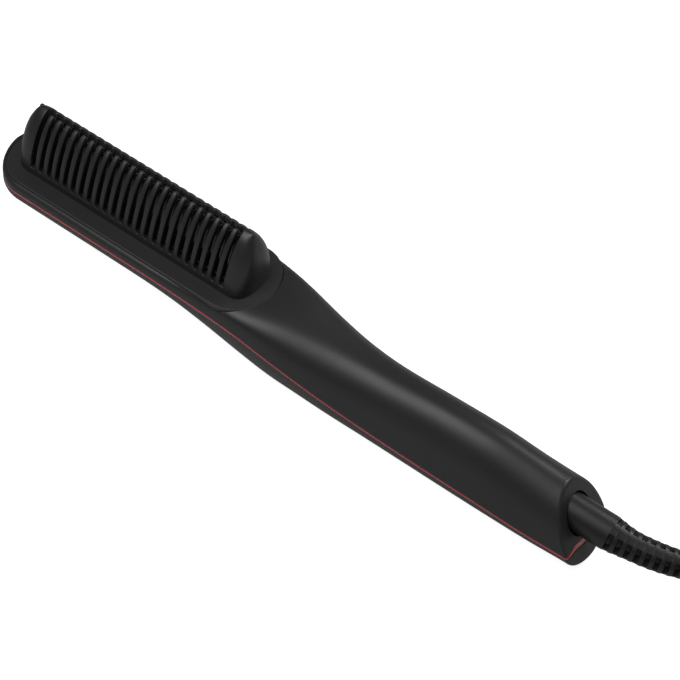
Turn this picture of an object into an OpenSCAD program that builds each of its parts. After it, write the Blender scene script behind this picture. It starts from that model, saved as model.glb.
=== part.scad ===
// Electric hot comb: a heated comb under a ribbed guard cage, on a long moulded handle,
// with a swivelling mains cord. Lengths are in millimetres.
// X runs from the nose to the cord end, +Z is up, and the handle lies on its flat back at Z = 0.

/* [Body] */
// Nose tip, behind the middle of the body
nose_x = -143.8; // [-148:0.2:-140]
// Foot of the raked end face, at Z = 0
end_x = 145.2; // [143:0.1:148]
// Forward lean of the end face, in millimetres per millimetre of height
end_lean = 0.64; // [0.4:0.02:0.7]
// Wall of the two shells
wall = 2; // [1.6:0.1:2.4]
// Height of the red accent strip between the shells
strip_h = 0.8; // [0.6:0.1:1.2]
// Top of the bezel plate and foot of the cage
deck_z = 33; // [32:0.5:34]

/* [Guard cage] */
// Number of slots along the cage
slot_count = 24; // [18:2:24]
// Pitch of the slots
slot_pitch = 4.2; // [4:0.1:4.4]
// Width of one slot
slot_w = 1.9; // [1.6:0.1:2.2]
// Height of the cage over the deck
cage_h = 27; // [24:0.5:30]
// Half width of the cage at its foot
cage_w = 12; // [11:0.5:13]
// Depth of a rib, from its outer to its inner edge
rib_depth = 3; // [2.5:0.25:3.5]
// Height of the unslotted band at the cage's foot
band_h = 3.2; // [2.5:0.1:5]
// Width of the open channel along the crest
crest_w = 5; // [4.4:0.2:6]

/* [Heated comb] */
// Height of the teeth over the deck
tooth_h = 21.5; // [19:0.5:22]
// Thickness of one tooth
tooth_t = 2.2; // [1.8:0.1:2.4]

/* [Control panel] */
// Diameter of the round buttons
button_d = 9; // [8:0.5:10]
// Distance between the buttons
button_pitch = 11; // [10.5:0.5:11.5]
// Height of the panel's face over the surface that the handle lies on
panel_z = 0.6; // [0.4:0.1:0.8]

/* [Swivel and cord] */
// Height of the swivel's axis
axis_z = 18.5; // [18:0.5:19.5]
// Diameter of the collar that leaves the end face
collar_d = 14; // [13:0.5:14]
// Diameter of the cord
cord_d = 5.6; // [5:0.2:6]
// Straight run of the hank's loops
hank_run = 84; // [80:2:100]
// Distance between the plug's pins
pin_gap = 19; // [18:0.5:19]

/* [Hidden] */
$fn = 48;

panel_x0 = 34;
panel_x1 = 96;
panel_w = 15;
panel_inner_z = wall + 1.4;

// Cross-sections of the body: X, half width, seam, top, bottom, roundness of the upper and
// of the lower half (2 is an ellipse, more is squarer). The bottom is cut flat at Z = 0.
X = 0;
HALF = 1;
SEAM = 2;
TOP = 3;
BOTTOM = 4;
UPPER_N = 5;
LOWER_N = 6;
sections = [
  [-126, 20.8, 27.5, 33.0, 17.0, 6.0, 2.2],
  [ -62, 20.8, 27.5, 33.0, 16.6, 6.0, 2.2],
  [ -46, 20.5, 26.8, 33.0, 14.4, 6.0, 2.2],
  [ -29, 19.8, 24.9, 33.2,  8.6, 5.6, 2.2],
  [ -14, 19.0, 22.3, 33.7,  2.0, 4.2, 2.1],
  [   0, 18.1, 18.6, 33.5, -1.4, 3.0, 2.1],
  [  14, 16.7, 14.5, 32.2, -3.2, 2.5, 2.0],
  [  29, 15.4, 11.1, 31.2, -4.1, 2.2, 2.0],
  [  46, 14.5,  8.8, 31.1, -4.4, 2.1, 1.9],
  [  70, 14.6,  8.3, 32.9, -3.4, 2.0, 1.9],
  [  94, 14.7,  8.3, 33.6, -2.8, 2.0, 1.9],
  [ 119, 15.0,  8.6, 32.4, -1.2, 1.9, 1.8],
  [ 140, 15.2,  9.9, 31.4,  1.5, 1.9, 1.8]
];
nose_start = sections[0][X];
rake_start = 92;
end_mid_z = 9;
end_mid_x = end_x - end_lean * end_mid_z;
end_round = 1;
arc_steps = 24;

// Cubic through one column of the table
function clamp(v, low, high) = max(low, min(high, v));
function row(x, i = 0) =
  i >= len(sections) - 2 || x < sections[i + 1][X] ? i : row(x, i + 1);
function slope(i, c) =
  i == 0 || i == len(sections) - 1 ? 0
  : (sections[i + 1][c] - sections[i - 1][c]) / (sections[i + 1][X] - sections[i - 1][X]);
function body(x, c) =
  let (
    i = row(x),
    span = sections[i + 1][X] - sections[i][X],
    t = clamp((x - sections[i][X]) / span, 0, 1)
  )
  (2 * t * t * t - 3 * t * t + 1) * sections[i][c]
  + (t * t * t - 2 * t * t + t) * span * slope(i, c)
  + (3 * t * t - 2 * t * t * t) * sections[i + 1][c]
  + (t * t * t - t * t) * span * slope(i + 1, c);

// Stations of the loft: angles round the nose, then even steps, then the end face's edge
nose_angles = [86, 76, 66, 55, 44, 33, 22, 11];
function nose_fade(x, tip) =
  x >= nose_start ? 1 : sqrt(max(0, 1 - pow((nose_start - x) / (nose_start - tip), 2)));
function nose_stations(tip) = [for (a = nose_angles) nose_start - (nose_start - tip) * sin(a)];
mid_stations = [-126, -95, -62, -52, -42, -33, -24, -16, -8, 0, 8, 16, 25, 36, 48, 62, 77, 92];
end_stations = [104, 116, 127];

// A soft lower limit, which blends the flat back into the round sides
function soft_floor(z, floor_z, blend) =
  z > floor_z + blend ? z
  : z < floor_z - blend ? floor_z
  : floor_z + pow(z - floor_z + blend, 2) / (4 * blend);

// One point of a cross-section. The angle runs over the upper half or under the lower half.
function power(v, n) = sign(v) * pow(abs(v), n);
function shear(x) = clamp((x - rake_start) / (end_mid_x - rake_start), 0, 1) * end_lean;
function skin_point(x, a, up, inset, thin, tip, drop) =
  let (
    at = x - drop,
    n = body(at, up > 0 ? UPPER_N : LOWER_N),
    fade = nose_fade(x, tip),
    half = (body(at, HALF) - inset) * fade,
    seam = body(at, SEAM) + up * strip_h / 2,
    rise = up > 0 ? (body(at, TOP) - thin - seam) * (0.88 + 0.12 * sqrt(fade))
                  : (seam - body(at, BOTTOM) - thin) * fade,
    raw = seam + up * rise * power(sin(a), 2 / n),
    z = up > 0 ? raw : soft_floor(raw, thin, 1.2)
  )
  [x - shear(x) * (z - end_mid_z) - drop, half * power(cos(a), 2 / n), z];
function ring(x, up, inset, thin, tip, drop) =
  [for (k = [0 : arc_steps]) skin_point(x, 180 * k / arc_steps, up, inset, thin, tip, drop)];

// Thickness of the wall: the head's deck is thick enough to carry the bezel's ledge
function side_wall(x) = x < -30 ? wall + 1.4 : x < 0 ? wall + 1.4 * (-x / 30) : wall;
function roof_wall(x, up) = up < 0 ? wall : x < -30 ? wall + 2.8 : x < 0 ? wall + 2.8 * (-x / 30) : wall;
function outer_rings(up) = [
  for (x = nose_stations(nose_x)) ring(x, up, 0, 0, nose_x, 0),
  for (x = concat(mid_stations, end_stations)) ring(x, up, 0, 0, nose_x, 0),
  ring(end_mid_x, up, 0, 0, nose_x, end_round),
  ring(end_mid_x, up, 0.3 * end_round, 0.3 * end_round, nose_x, 0.3 * end_round),
  ring(end_mid_x, up, end_round, end_round, nose_x, 0)
];
function inner_rings(up) = let (tip = nose_x + wall + 1.4) [
  for (x = nose_stations(tip)) ring(x, up, side_wall(x), roof_wall(x, up), tip, 0),
  for (x = concat(mid_stations, end_stations)) ring(x, up, side_wall(x), roof_wall(x, up), tip, 0),
  for (d = [2.6, 2.3, 2]) ring(end_mid_x, up, wall + 0.2, wall, tip, wall * d / 1.6)
];

// The seam crosses the end face under the collar, with a dip in its middle
end_seam = [[8, 10], [4, 9.2], [0, 8.6], [-4, 9.2], [-8, 10]];
function end_points(up, drop) = [
  for (p = end_seam) let (z = p[1] + up * strip_h / 2) [end_x - end_lean * z - drop, p[0], z]
];

// A half shell: its outer skin, its inner skin and the rim that joins them, as one solid
module half_shell(up) {
  outer = outer_rings(up);
  inner = inner_rings(up);
  n = len(outer) - 1;
  steps = arc_steps;
  per = steps + 1;
  inner_at = (n + 1) * per;
  end_at = 2 * inner_at;
  seams = len(end_seam);
  function o(i, k) = i * per + k;
  function q(i, k) = inner_at + i * per + k;
  outer_edge = [o(n, 0), for (j = [0 : seams - 1]) end_at + j, o(n, steps)];
  inner_edge = [q(n, 0), for (j = [0 : seams - 1]) end_at + seams + j, q(n, steps)];
  faces = [
    for (i = [0 : n - 1]) for (k = [0 : steps - 1]) each [
      [o(i, k), o(i + 1, k), o(i + 1, k + 1)],
      [o(i, k), o(i + 1, k + 1), o(i, k + 1)],
      [q(i, k), q(i, k + 1), q(i + 1, k + 1)],
      [q(i, k), q(i + 1, k + 1), q(i + 1, k)]
    ],
    for (i = [0 : n - 1]) each [
      [o(i, 0), q(i, 0), q(i + 1, 0)],
      [o(i, 0), q(i + 1, 0), o(i + 1, 0)],
      [o(i, steps), o(i + 1, steps), q(i + 1, steps)],
      [o(i, steps), q(i + 1, steps), q(i, steps)]
    ],
    [for (k = [0 : steps]) o(0, k)],
    [for (k = [steps : -1 : 0]) q(0, k)],
    [o(0, 0), o(0, steps), q(0, steps), q(0, 0)],
    [for (k = [steps : -1 : 0]) o(n, k), for (j = [0 : seams - 1]) end_at + j],
    [for (k = [0 : steps]) q(n, k), for (j = [seams - 1 : -1 : 0]) end_at + seams + j],
    for (j = [0 : seams]) each [
      [outer_edge[j], inner_edge[j], inner_edge[j + 1]],
      [outer_edge[j], inner_edge[j + 1], outer_edge[j + 1]]
    ]
  ];
  points = concat(
    [for (r = outer) each r],
    [for (r = inner) each r],
    end_points(up, 0),
    end_points(up, wall * 1.25)
  );
  polyhedron(points, up > 0 ? faces : [for (f = faces) [for (k = [len(f) - 1 : -1 : 0]) f[k]]],
    convexity = 8);
}
// Plan of the bezel plate: a half ellipse at each end. The inset shrinks it on all sides.
bezel_half = 19.1;
bezel_front = -126.5;
bezel_front_len = 15.6;
bezel_back = -22.5;
bezel_back_len = 11.3;
bezel_t = 3;
ledge_t = 1.8;
bezel_z = deck_z - bezel_t;
function end_arc(x, dir, length, half, n) = [
  for (a = [-90 : 7.5 : 90]) [x + dir * length * power(cos(a), 2 / n), dir * half * power(sin(a), 2 / n)]
];
function bezel_plan(inset) = concat(
  end_arc(bezel_back, 1, bezel_back_len - inset, bezel_half - inset, 2),
  end_arc(bezel_front, -1, bezel_front_len - inset, bezel_half - inset, 2)
);
module bezel_prism(inset, height) linear_extrude(height) polygon(bezel_plan(inset));

// Screws: one into a post of the upper shell, two under the head into the heat carrier
grip_screw_x = 18;
head_screw_x = [-112, -40];
screw_head_r = 2.8;
screw_head_t = 1.6;
screw_r = 1.4;
post_r = 3.2;
function bowl_z(x) = body(x - post_r, BOTTOM) + wall + 0.4;

module upper_shell() color("#2f3032") difference() {
  union() {
    half_shell(1);
    translate([grip_screw_x, 0, body(grip_screw_x, SEAM) + 0.5]) cylinder(r = post_r, h = 17);
  }
  translate([grip_screw_x, 0, 0]) cylinder(r = screw_r, h = 24);
  translate([0, 0, bezel_z]) bezel_prism(-0.15, bezel_t + 3);
  translate([0, 0, bezel_z - ledge_t - 3]) bezel_prism(3, ledge_t + 4);
  translate([end_mid_x - 25, 0, axis_z]) rotate([0, 90, 0]) cylinder(r = collar_d / 2 + 0.5, h = 40);
}

board_posts = [29, 101];
module lower_shell() color("#35363a") difference() {
  union() {
    half_shell(-1);
    translate([grip_screw_x, 0, wall / 2])
      cylinder(r = post_r + 0.4, h = body(grip_screw_x, SEAM) - 0.5 - wall / 2);
    for (x = board_posts) translate([x, 0, wall / 2]) cylinder(r = 2.4, h = board_z - wall / 2);
  }
  translate([panel_x0, -panel_w / 2, -1]) cube([panel_x1 - panel_x0, panel_w, wall + 2]);
  translate([grip_screw_x, 0, -1]) cylinder(r = screw_head_r + 0.3, h = 1 + screw_sink_z + screw_head_t);
  translate([grip_screw_x, 0, -1]) cylinder(r = screw_r + 0.15, h = 30);
  for (x = head_screw_x) translate([x, 0, 0]) cylinder(r = screw_head_r + 0.3, h = 30);
}
screw_sink_z = 3;

// Accent strip: a thin band along the whole seam, a hair below the skins on both sides
strip_sink = 0.15;
strip_depth = 1.5;
module accent_strip() {
  side_x = concat(mid_stations, end_stations);
  function side_pair(x, tip, s) = let (
    fade = nose_fade(x, tip),
    z = body(x, SEAM),
    y = (body(x, HALF) - strip_sink) * fade,
    shift = shear(x) * (z - end_mid_z)
  ) [[x - shift, s * y, z], [x - shift + strip_depth * (x < nose_start ? 1 - fade : 0),
      s * max(y - strip_depth * (x < nose_start ? max(fade, 0.3) : 1), 0.4), z]];
  corner_z = body(end_mid_x, SEAM);
  corner_y = body(end_mid_x, HALF) - end_round;
  function face_x(z) = end_x - end_lean * z - strip_sink;
  path = [
    for (k = [len(side_x) - 1 : -1 : 0]) side_pair(side_x[k], nose_x + strip_sink, 1),
    for (k = [len(nose_angles) - 1 : -1 : 0])
      side_pair(nose_stations(nose_x + strip_sink)[k], nose_x + strip_sink, 1),
    for (k = [0 : len(nose_angles) - 1])
      side_pair(nose_stations(nose_x + strip_sink)[k], nose_x + strip_sink, -1),
    for (x = side_x) side_pair(x, nose_x + strip_sink, -1)
  ];
  face_path = [
    [[face_x(corner_z) - end_round, -corner_y - end_round + strip_sink, corner_z],
     [face_x(corner_z) - end_round - strip_depth, -corner_y + strip_depth, corner_z]],
    [[face_x(corner_z), -corner_y, corner_z],
     [face_x(corner_z) - strip_depth, -corner_y + strip_depth, corner_z]],
    for (k = [len(end_seam) - 1 : -1 : 0]) let (p = end_seam[k])
      [[face_x(p[1]), p[0], p[1]], [face_x(p[1]) - strip_depth, p[0], p[1]]],
    [[face_x(corner_z), corner_y, corner_z],
     [face_x(corner_z) - strip_depth, corner_y - strip_depth, corner_z]]
  ];
  loop = concat(path, face_path);
  n = len(loop);
  h = strip_h / 2 - 0.06;
  points = [for (p = loop) each [
    p[0] + [0, 0, h], p[0] - [0, 0, h], p[1] - [0, 0, h], p[1] + [0, 0, h]]];
  faces = [for (i = [0 : n - 1]) for (c = [0 : 3]) let (
    a = i * 4 + c, b = i * 4 + (c + 1) % 4, d = ((i + 1) % n) * 4 + c, e = ((i + 1) % n) * 4 + (c + 1) % 4
  ) each [[a, e, b], [a, d, e]]];
  color("#a3182a") polyhedron(points, faces, convexity = 6);
}

// Bezel plate: fills the opening in the deck and carries the cage
hatch_half = 6.6;
module bezel() color("#37383b") difference() {
  translate([0, 0, bezel_z + 0.02]) bezel_prism(0, bezel_t - 0.02);
  translate([comb_x0 - 0.4, -hatch_half, bezel_z - 1])
    cube([comb_x1 - comb_x0 + 0.8, 2 * hatch_half, bezel_t + 2]);
}

// Guard cage. Its form is where three profiles meet: across, from the side and from above.
cage_mid = -76.5;
cage_x0 = -131.5;
cage_x1 = -17.9;
cage_lean = 5.6;
cage_n = 1.63;
slots_x0 = cage_mid - (slot_count - 1) / 2 * slot_pitch;
slots_x1 = cage_mid + (slot_count - 1) / 2 * slot_pitch;
function across(half, height, n) = [
  for (a = [0 : 6 : 180]) [half * power(cos(a), 2 / n), height * power(sin(a), 2 / n)]
];
module cage_form(inset, x0, x1, foot) {
  height = cage_h - inset;
  intersection() {
    translate([x0 - 1, 0, deck_z]) rotate([90, 0, 90]) linear_extrude(x1 - x0 + 2)
      polygon(concat(across(cage_w - inset, height, cage_n),
        foot < 0 ? [[inset - cage_w, foot], [cage_w - inset, foot]] : []));
    translate([0, cage_w + 1, deck_z]) rotate([90, 0, 0]) linear_extrude(2 * cage_w + 2)
      polygon(concat(
        [[x0, foot], [x1, foot]],
        [for (a = [foot < 0 ? 0 : 10 : 10 : 90])
          [x1 - cage_lean * (1 - power(cos(a), 0.6)), (height + 1) * power(sin(a), 0.8)]],
        [[x0 + 2.4, height + 1]],
        foot < 0 ? [[x0, 0]] : []));
    translate([0, 0, deck_z + foot - 1]) linear_extrude(height + 4 - foot)
      polygon(concat(
        end_arc(x1 - 9.3, 1, 9.3, cage_w - inset + 0.01, 3.5),
        end_arc(x0 + 7, -1, 7, cage_w - inset + 0.01, 2.6)));
  }
}
module cage() color("#2c2d2f") union() {
  difference() {
    cage_form(0, cage_x0, cage_x1, 0);
    cage_form(rib_depth, slots_x0 - slot_w / 2 - 0.6, slots_x1 + slot_w / 2 + 0.4, -2);
    for (i = [0 : slot_count - 1])
      translate([slots_x0 + i * slot_pitch - slot_w / 2, -20, deck_z + band_h]) cube([slot_w, 40, 40]);
    translate([slots_x0, -crest_w / 2, deck_z + 12]) cube([(slot_count - 1) * slot_pitch, crest_w, 20]);
  }
  translate([cage_x0 + 2.6, 0, deck_z + cage_h - 3]) cylinder(r = 1.5, h = 4.2);
}

// Heated comb: a coated bar with one upright tooth behind each rib
comb_x0 = slots_x0 - 0.4;
comb_x1 = slots_x1 + 0.4;
comb_bar_half = 6;
comb_bar_z = 26.4;
heater_half = 4.6;
heater_top_z = comb_bar_z + 4.6;
tooth_foot = 5.4;
tooth_tip_r = 1.5;
module tooth_profile() {
  rise = tooth_h - tooth_tip_r;
  union() {
    polygon([
      [-tooth_foot, -1], [tooth_foot, -1], [tooth_foot - 0.6, rise * 0.45],
      [tooth_tip_r + 0.9, rise * 0.85], [tooth_tip_r, rise], [-tooth_tip_r, rise],
      [-tooth_tip_r - 0.9, rise * 0.85], [0.6 - tooth_foot, rise * 0.45]
    ]);
    translate([0, rise]) circle(r = tooth_tip_r);
  }
}
module heated_comb() color("#18181a") union() {
  difference() {
    translate([comb_x0, -comb_bar_half, comb_bar_z])
      cube([comb_x1 - comb_x0, 2 * comb_bar_half, deck_z + 1.2 - comb_bar_z]);
    translate([comb_x0 - 1, -heater_half, comb_bar_z - 1])
      cube([comb_x1 - comb_x0 + 2, 2 * heater_half, heater_top_z - comb_bar_z + 1]);
  }
  for (i = [1 : slot_count - 1])
    translate([slots_x0 + (i - 0.5) * slot_pitch - tooth_t / 2, 0, deck_z + 1]) rotate([90, 0, 90])
      linear_extrude(tooth_t) translate([0, -1]) tooth_profile();
}

// Heater stack in the comb bar: two ceramic plates, a steel channel and a tray that insulates
heater_t = 2.2;
heater_z = heater_top_z - heater_t;
clamp_t = heater_z - comb_bar_z;
module heater(x0) color("#d9d6cf") translate([x0, -4.5, heater_z]) cube([42, 9, heater_t]);
module heater_near() heater(comb_x0 + 3);
module heater_far() heater(comb_x1 - 45);
module clamp_bar() color("#b9bcc0") difference() {
  translate([comb_x0 + 1, -4.4, comb_bar_z]) cube([comb_x1 - comb_x0 - 2, 8.8, clamp_t]);
  translate([comb_x0, -3.6, comb_bar_z - 1]) cube([comb_x1 - comb_x0, 7.2, clamp_t + 0.4]);
}
tray_t = 1.6;
tray_z = comb_bar_z - tray_t;
tray_floor_z = comb_bar_z;
shelf_x = -11;
shelf_t = 0.8;
module heat_carrier() color("#6d5b45") difference() {
  union() {
    translate([comb_x0 - 2, -8, tray_z]) cube([comb_x1 - comb_x0 + 4, 16, comb_bar_z - tray_z + 2.4]);
    translate([comb_x1, -3, tray_z]) cube([shelf_x - comb_x1, 6, shelf_t]);
    for (x = head_screw_x) translate([x, 0, bowl_z(x)]) cylinder(r = post_r, h = comb_bar_z - 1 - bowl_z(x));
  }
  translate([comb_x0 - 0.5, -6.1, tray_floor_z]) cube([comb_x1 - comb_x0 + 1, 12.2, 12]);
  translate([comb_x1 - 1, -6.2, tray_floor_z]) cube([6, 12.4, 12]);
  for (x = head_screw_x) translate([x, 0, 10]) cylinder(r = screw_r, h = comb_bar_z - 10.4);
}
module thermistor() color("#c98f3c") translate([comb_x0 + 50.2, 0, heater_z + heater_t / 2])
  rotate([90, 0, 0]) cylinder(r = 1, h = 5, center = true);
module thermal_fuse() color("#d8d2c0") translate([comb_x1 + 4, 0, tray_z + shelf_t + 1.9])
  rotate([0, 90, 0]) cylinder(r = 1.9, h = 11);

// Two insulated leads from the heaters to the board, along the inside of the neck
lead_r = 0.9;
lead_y = 5.1;
lead_route = [[-27, 27.4], [-24, 27.3], [-10, 23.2], [2, 18.4], [14, 13.2], [25, 11.45], [31, 11.45]];
module heater_leads() color("#8f2f2a") for (side = [-1, 1])
  tube([for (p = lead_route) [p[0], side * lead_y, p[1]]], lead_r, 8, [1, 0, 0], [1, 0, 0]);

// Circuit board along the grip, over the control panel
board_x0 = 25;
board_x1 = 104;
board_half = 10.5;
board_z = 8.9;
board_t = 1.6;
module circuit_board() color("#1f5a3a") difference() {
  translate([board_x0, -board_half, board_z]) cube([board_x1 - board_x0, 2 * board_half, board_t]);
  for (x = board_posts) translate([x, 0, board_z - 1]) cylinder(r = 1.3, h = board_t + 2);
}
module power_block() color("#202124") translate([56, -7, board_z + board_t]) cube([20, 14, 10]);
module capacitor() color("#24406e") translate([44, 0, board_z + board_t]) cylinder(r = 5, h = 12);

// Control panel on the flat back: a blank window and three round buttons
button_x = [panel_x0 + 34, panel_x0 + 34 + button_pitch, panel_x0 + 34 + 2 * button_pitch];
button_r = button_d / 2;
button_gap = 0.3;
lens_x0 = panel_x0 + 3;
lens_len = 23;
lens_w = 10;
module panel() color("#232427") difference() {
  union() {
    translate([panel_x0 + 0.2, 0.2 - panel_w / 2, panel_z])
      cube([panel_x1 - panel_x0 - 0.4, panel_w - 0.4, wall - panel_z + 0.5]);
    translate([panel_x0 - 1.2, -8.6, wall + 0.4])
      cube([panel_x1 - panel_x0 + 2.4, 17.2, panel_inner_z - wall - 0.4]);
  }
  translate([lens_x0, -lens_w / 2, 0]) cube([lens_len, lens_w, 6]);
  for (x = button_x) translate([x, 0, 0]) cylinder(r = button_r + button_gap, h = 6);
}
module lens() color("#0e1013") translate([lens_x0 + 0.1, 0.1 - lens_w / 2, panel_z])
  cube([lens_len - 0.2, lens_w - 0.2, 1.6]);
module display() color("#e4e4e0") translate([lens_x0 + 1.5, 1.2 - lens_w / 2, 3.2])
  cube([lens_len - 3, lens_w - 2.4, board_z - 3.2]);

// A button cap: a round face with a soft edge, and a flange behind the panel that keeps it in
button_z = 0.3;
flange_t = 0.8;
module button_cap(x) color("#3c3d41") translate([x, 0, 0]) union() {
  translate([0, 0, button_z + 0.4]) cylinder(r = button_r, h = panel_inner_z - button_z);
  translate([0, 0, button_z]) cylinder(r1 = button_r - 0.5, r2 = button_r, h = 0.4);
  translate([0, 0, panel_inner_z + 0.1]) cylinder(r = button_r + 0.7, h = flange_t);
}
module button_power() button_cap(button_x[0]);
module button_plus() button_cap(button_x[1]);
module button_minus() button_cap(button_x[2]);
module tact_switch(x) color("#b4b6b8") union() {
  translate([x - 3, -3, board_z - 3.1]) cube([6, 6, 3.1]);
  translate([x, 0, board_z - 3.8]) cylinder(r = 1.7, h = 1);
}
module switch_power() tact_switch(button_x[0]);
module switch_plus() tact_switch(button_x[1]);
module switch_minus() tact_switch(button_x[2]);

// Swivel: a barrel that turns in a fixed bush, with two slip rings on its nose
axle_r = 6;
bush_x0 = 108;
bush_x1 = 118;
barrel_flange_t = 2.2;
swivel_gap = 0.3;
collar_x = bush_x1 + swivel_gap;
module along_x(x0, x1, r) translate([x0, 0, axis_z]) rotate([0, 90, 0]) cylinder(r = r, h = x1 - x0);
saddle_x = 110;
saddle_t = 3;
function saddle_side(up) = let (x = saddle_x + saddle_t / 2, n = body(x, up > 0 ? UPPER_N : LOWER_N)) [
  for (a = [8 : 8 : 172]) [
    (body(x, HALF) - wall - 0.5) * power(cos(a), 2 / n),
    body(x, SEAM)
      + (body(x, up > 0 ? TOP : BOTTOM) - body(x, SEAM) - up * (wall + 0.6)) * power(sin(a), 2 / n)
  ]
];
module swivel_bush() color("#c9c6be") difference() {
  union() {
    along_x(bush_x0, bush_x1, 9.4);
    translate([saddle_x, 0, 0]) rotate([90, 0, 90]) linear_extrude(saddle_t) intersection() {
      polygon(concat(saddle_side(1), [for (p = saddle_side(-1)) [-p[0], p[1]]]));
      translate([-20, wall + 0.2]) square([40, 28]);
    }
  }
  along_x(bush_x0 - 1, bush_x1 + 1, axle_r + 0.05);
}
nose_x0 = 92;
module swivel_barrel() color("#dedbd2") difference() {
  union() {
    along_x(bush_x0 - swivel_gap, collar_x, axle_r);
    along_x(bush_x0 - swivel_gap - barrel_flange_t, bush_x0 - swivel_gap, 8);
    along_x(nose_x0, bush_x0 - swivel_gap - barrel_flange_t, 3.6);
  }
  along_x(collar_x - 8, collar_x + 1, 4);
}
ring_live_x = 94;
ring_neutral_x = 99.5;
module slip_ring(x) color("#c8a24a") difference() {
  along_x(x, x + 3, 4.6);
  along_x(x - 1, x + 4, 3.6);
}
module slip_ring_live() slip_ring(ring_live_x);
module slip_ring_neutral() slip_ring(ring_neutral_x);
module brush(x) color("#b98a3a") union() {
  translate([x + 0.6, -1.5, axis_z + 4.65]) cube([1.8, 3, 1.2]);
  translate([x + 0.6, -1.5, axis_z + 5.6]) cube([1.8, 10, 0.6]);
}
module brush_live() brush(ring_live_x);
module brush_neutral() brush(ring_neutral_x);
// Screws: their heads lie sunk in the skin
module screw(x, z, length) color("#8e9093") translate([x, 0, z]) union() {
  cylinder(r = screw_head_r, h = screw_head_t);
  cylinder(r = screw_r, h = length);
}
module screw_grip() screw(grip_screw_x, screw_sink_z, 16);
module head_screw(x) screw(x, bowl_z(x) - screw_head_t, comb_bar_z - 0.8 - bowl_z(x) + screw_head_t);
module screw_head_front() head_screw(head_screw_x[0]);
module screw_head_rear() head_screw(head_screw_x[1]);

// Strain relief: a smooth collar, then thin rings along a gentle arc, joined by staggered webs
relief_x = 147.5;
relief_bend_r = 75;
relief_rings = 16;
relief_pitch = 2.9;
relief_ring_t = 1.3;
window_w = relief_pitch - relief_ring_t;
relief_core_r = 3;
relief_turn = 180 / PI / relief_bend_r;
relief_end_angle = relief_rings * relief_pitch * relief_turn;
function relief_r(s) = s < 12 ? 7 - 1.85 * sin(s * 7.5) : 5.15 - 1.1 * pow((s - 12) / 35, 2);
module on_relief(s) translate([relief_x, relief_bend_r, axis_z]) rotate([0, 0, s * relief_turn])
  translate([0, -relief_bend_r, 0]) rotate([0, 90, 0]) children();
module strain_relief() color("#1b1b1d") union() {
  along_x(collar_x, relief_x, collar_d / 2);
  along_x(collar_x - 7.9, collar_x + 1, 3.9);
  translate([relief_x, relief_bend_r, axis_z]) rotate([0, 0, -90])
    rotate_extrude(angle = relief_end_angle, $fn = 360)
      translate([relief_bend_r, 0]) circle(r = relief_core_r, $fn = 48);
  for (i = [1 : relief_rings]) let (s = i * relief_pitch)
    on_relief(s) translate([0, 0, -relief_ring_t]) cylinder(r = relief_r(s), h = relief_ring_t);
  for (i = [0 : relief_rings - 1]) let (s = i * relief_pitch, r = relief_r(s + relief_pitch) - 0.3)
    on_relief(s + window_w / 2) rotate([0, 0, 90 * (i % 2)])
      cube([2 * r, 2.4, window_w + 0.6], center = true);
}

// A round tube swept along points. Each ring stands square to the route.
function unit(v) = v / norm(v);
function heading(route, i) = unit(route[min(i + 1, len(route) - 1)] - route[max(i - 1, 0)]);
function tube_points(route, r, sides, first, last) = [
  for (i = [0 : len(route) - 1]) let (
    d = i == 0 ? first : i == len(route) - 1 ? last : heading(route, i),
    u = unit(cross(d, [0, 0, 1])),
    v = cross(u, d)
  ) for (k = [0 : sides - 1]) let (a = 360 * (k + 0.5) / sides)
    route[i] + r * (cos(a) * u + sin(a) * v)
];
module tube(route, r, sides, first, last) {
  n = len(route);
  polyhedron(tube_points(route, r, sides, first, last), concat(
    [[for (k = [sides - 1 : -1 : 0]) k]],
    [[for (k = [0 : sides - 1]) (n - 1) * sides + k]],
    [for (i = [0 : n - 2]) for (k = [0 : sides - 1]) let (
      a = i * sides + k, b = i * sides + (k + 1) % sides
    ) each [[a, b, b + sides], [a, b + sides, a + sides]]]
  ), convexity = 10);
}
// Free cord from the strain relief down to the hank
cord_r = cord_d / 2;
lead_points = [
  [195.3, 16.9, 18.5], [203, 22.2, 17.6], [212, 27.4, 14.8], [222, 31.4, 10.8],
  [234, 33.5, 6.4], [246, 33.7, 3.9], [256, 33.7, 3.4]
];
relief_end_dir = [cos(relief_end_angle), sin(relief_end_angle), 0];
relief_end = [
  relief_x + relief_bend_r * sin(relief_end_angle),
  relief_bend_r * (1 - cos(relief_end_angle)),
  axis_z
];
module cord_lead() color("#202022")
  tube(concat([relief_end], lead_points), cord_r, 10, relief_end_dir, [1, 0, 0]);

// Hank: loops that spiral in and out again in four layers, with each climb along a run
hank_layers = 4;
hank_layer_turns = 1.5;
hank_in_r = 17;
hank_step = 7;
hank_rise = 6.3;
hank_pinch = 10;
hank_rings = 24;
hank_out_r = hank_in_r + hank_layer_turns * hank_step;
hank_last = hank_layers * hank_layer_turns;
hank_start = lead_points[len(lead_points) - 1] + [6, 0, 0];
hank_mid = [hank_start[0] + hank_run / 2, hank_start[1] - hank_out_r];
function hank_radius(t) = hank_in_r
  + hank_step * abs(t % (2 * hank_layer_turns) - hank_layer_turns);
function climb(t, k) = let (u = clamp((t - k * hank_layer_turns) / 0.25, 0, 1)) 3 * u * u - 2 * u * u * u;
function hank_height(t) = hank_start[2]
  + hank_rise * (climb(t, 1) + climb(t, 2) + climb(t, 3));
function waist(x) = hank_pinch * (1 + cos(360 * x / hank_run)) / 2;
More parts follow.
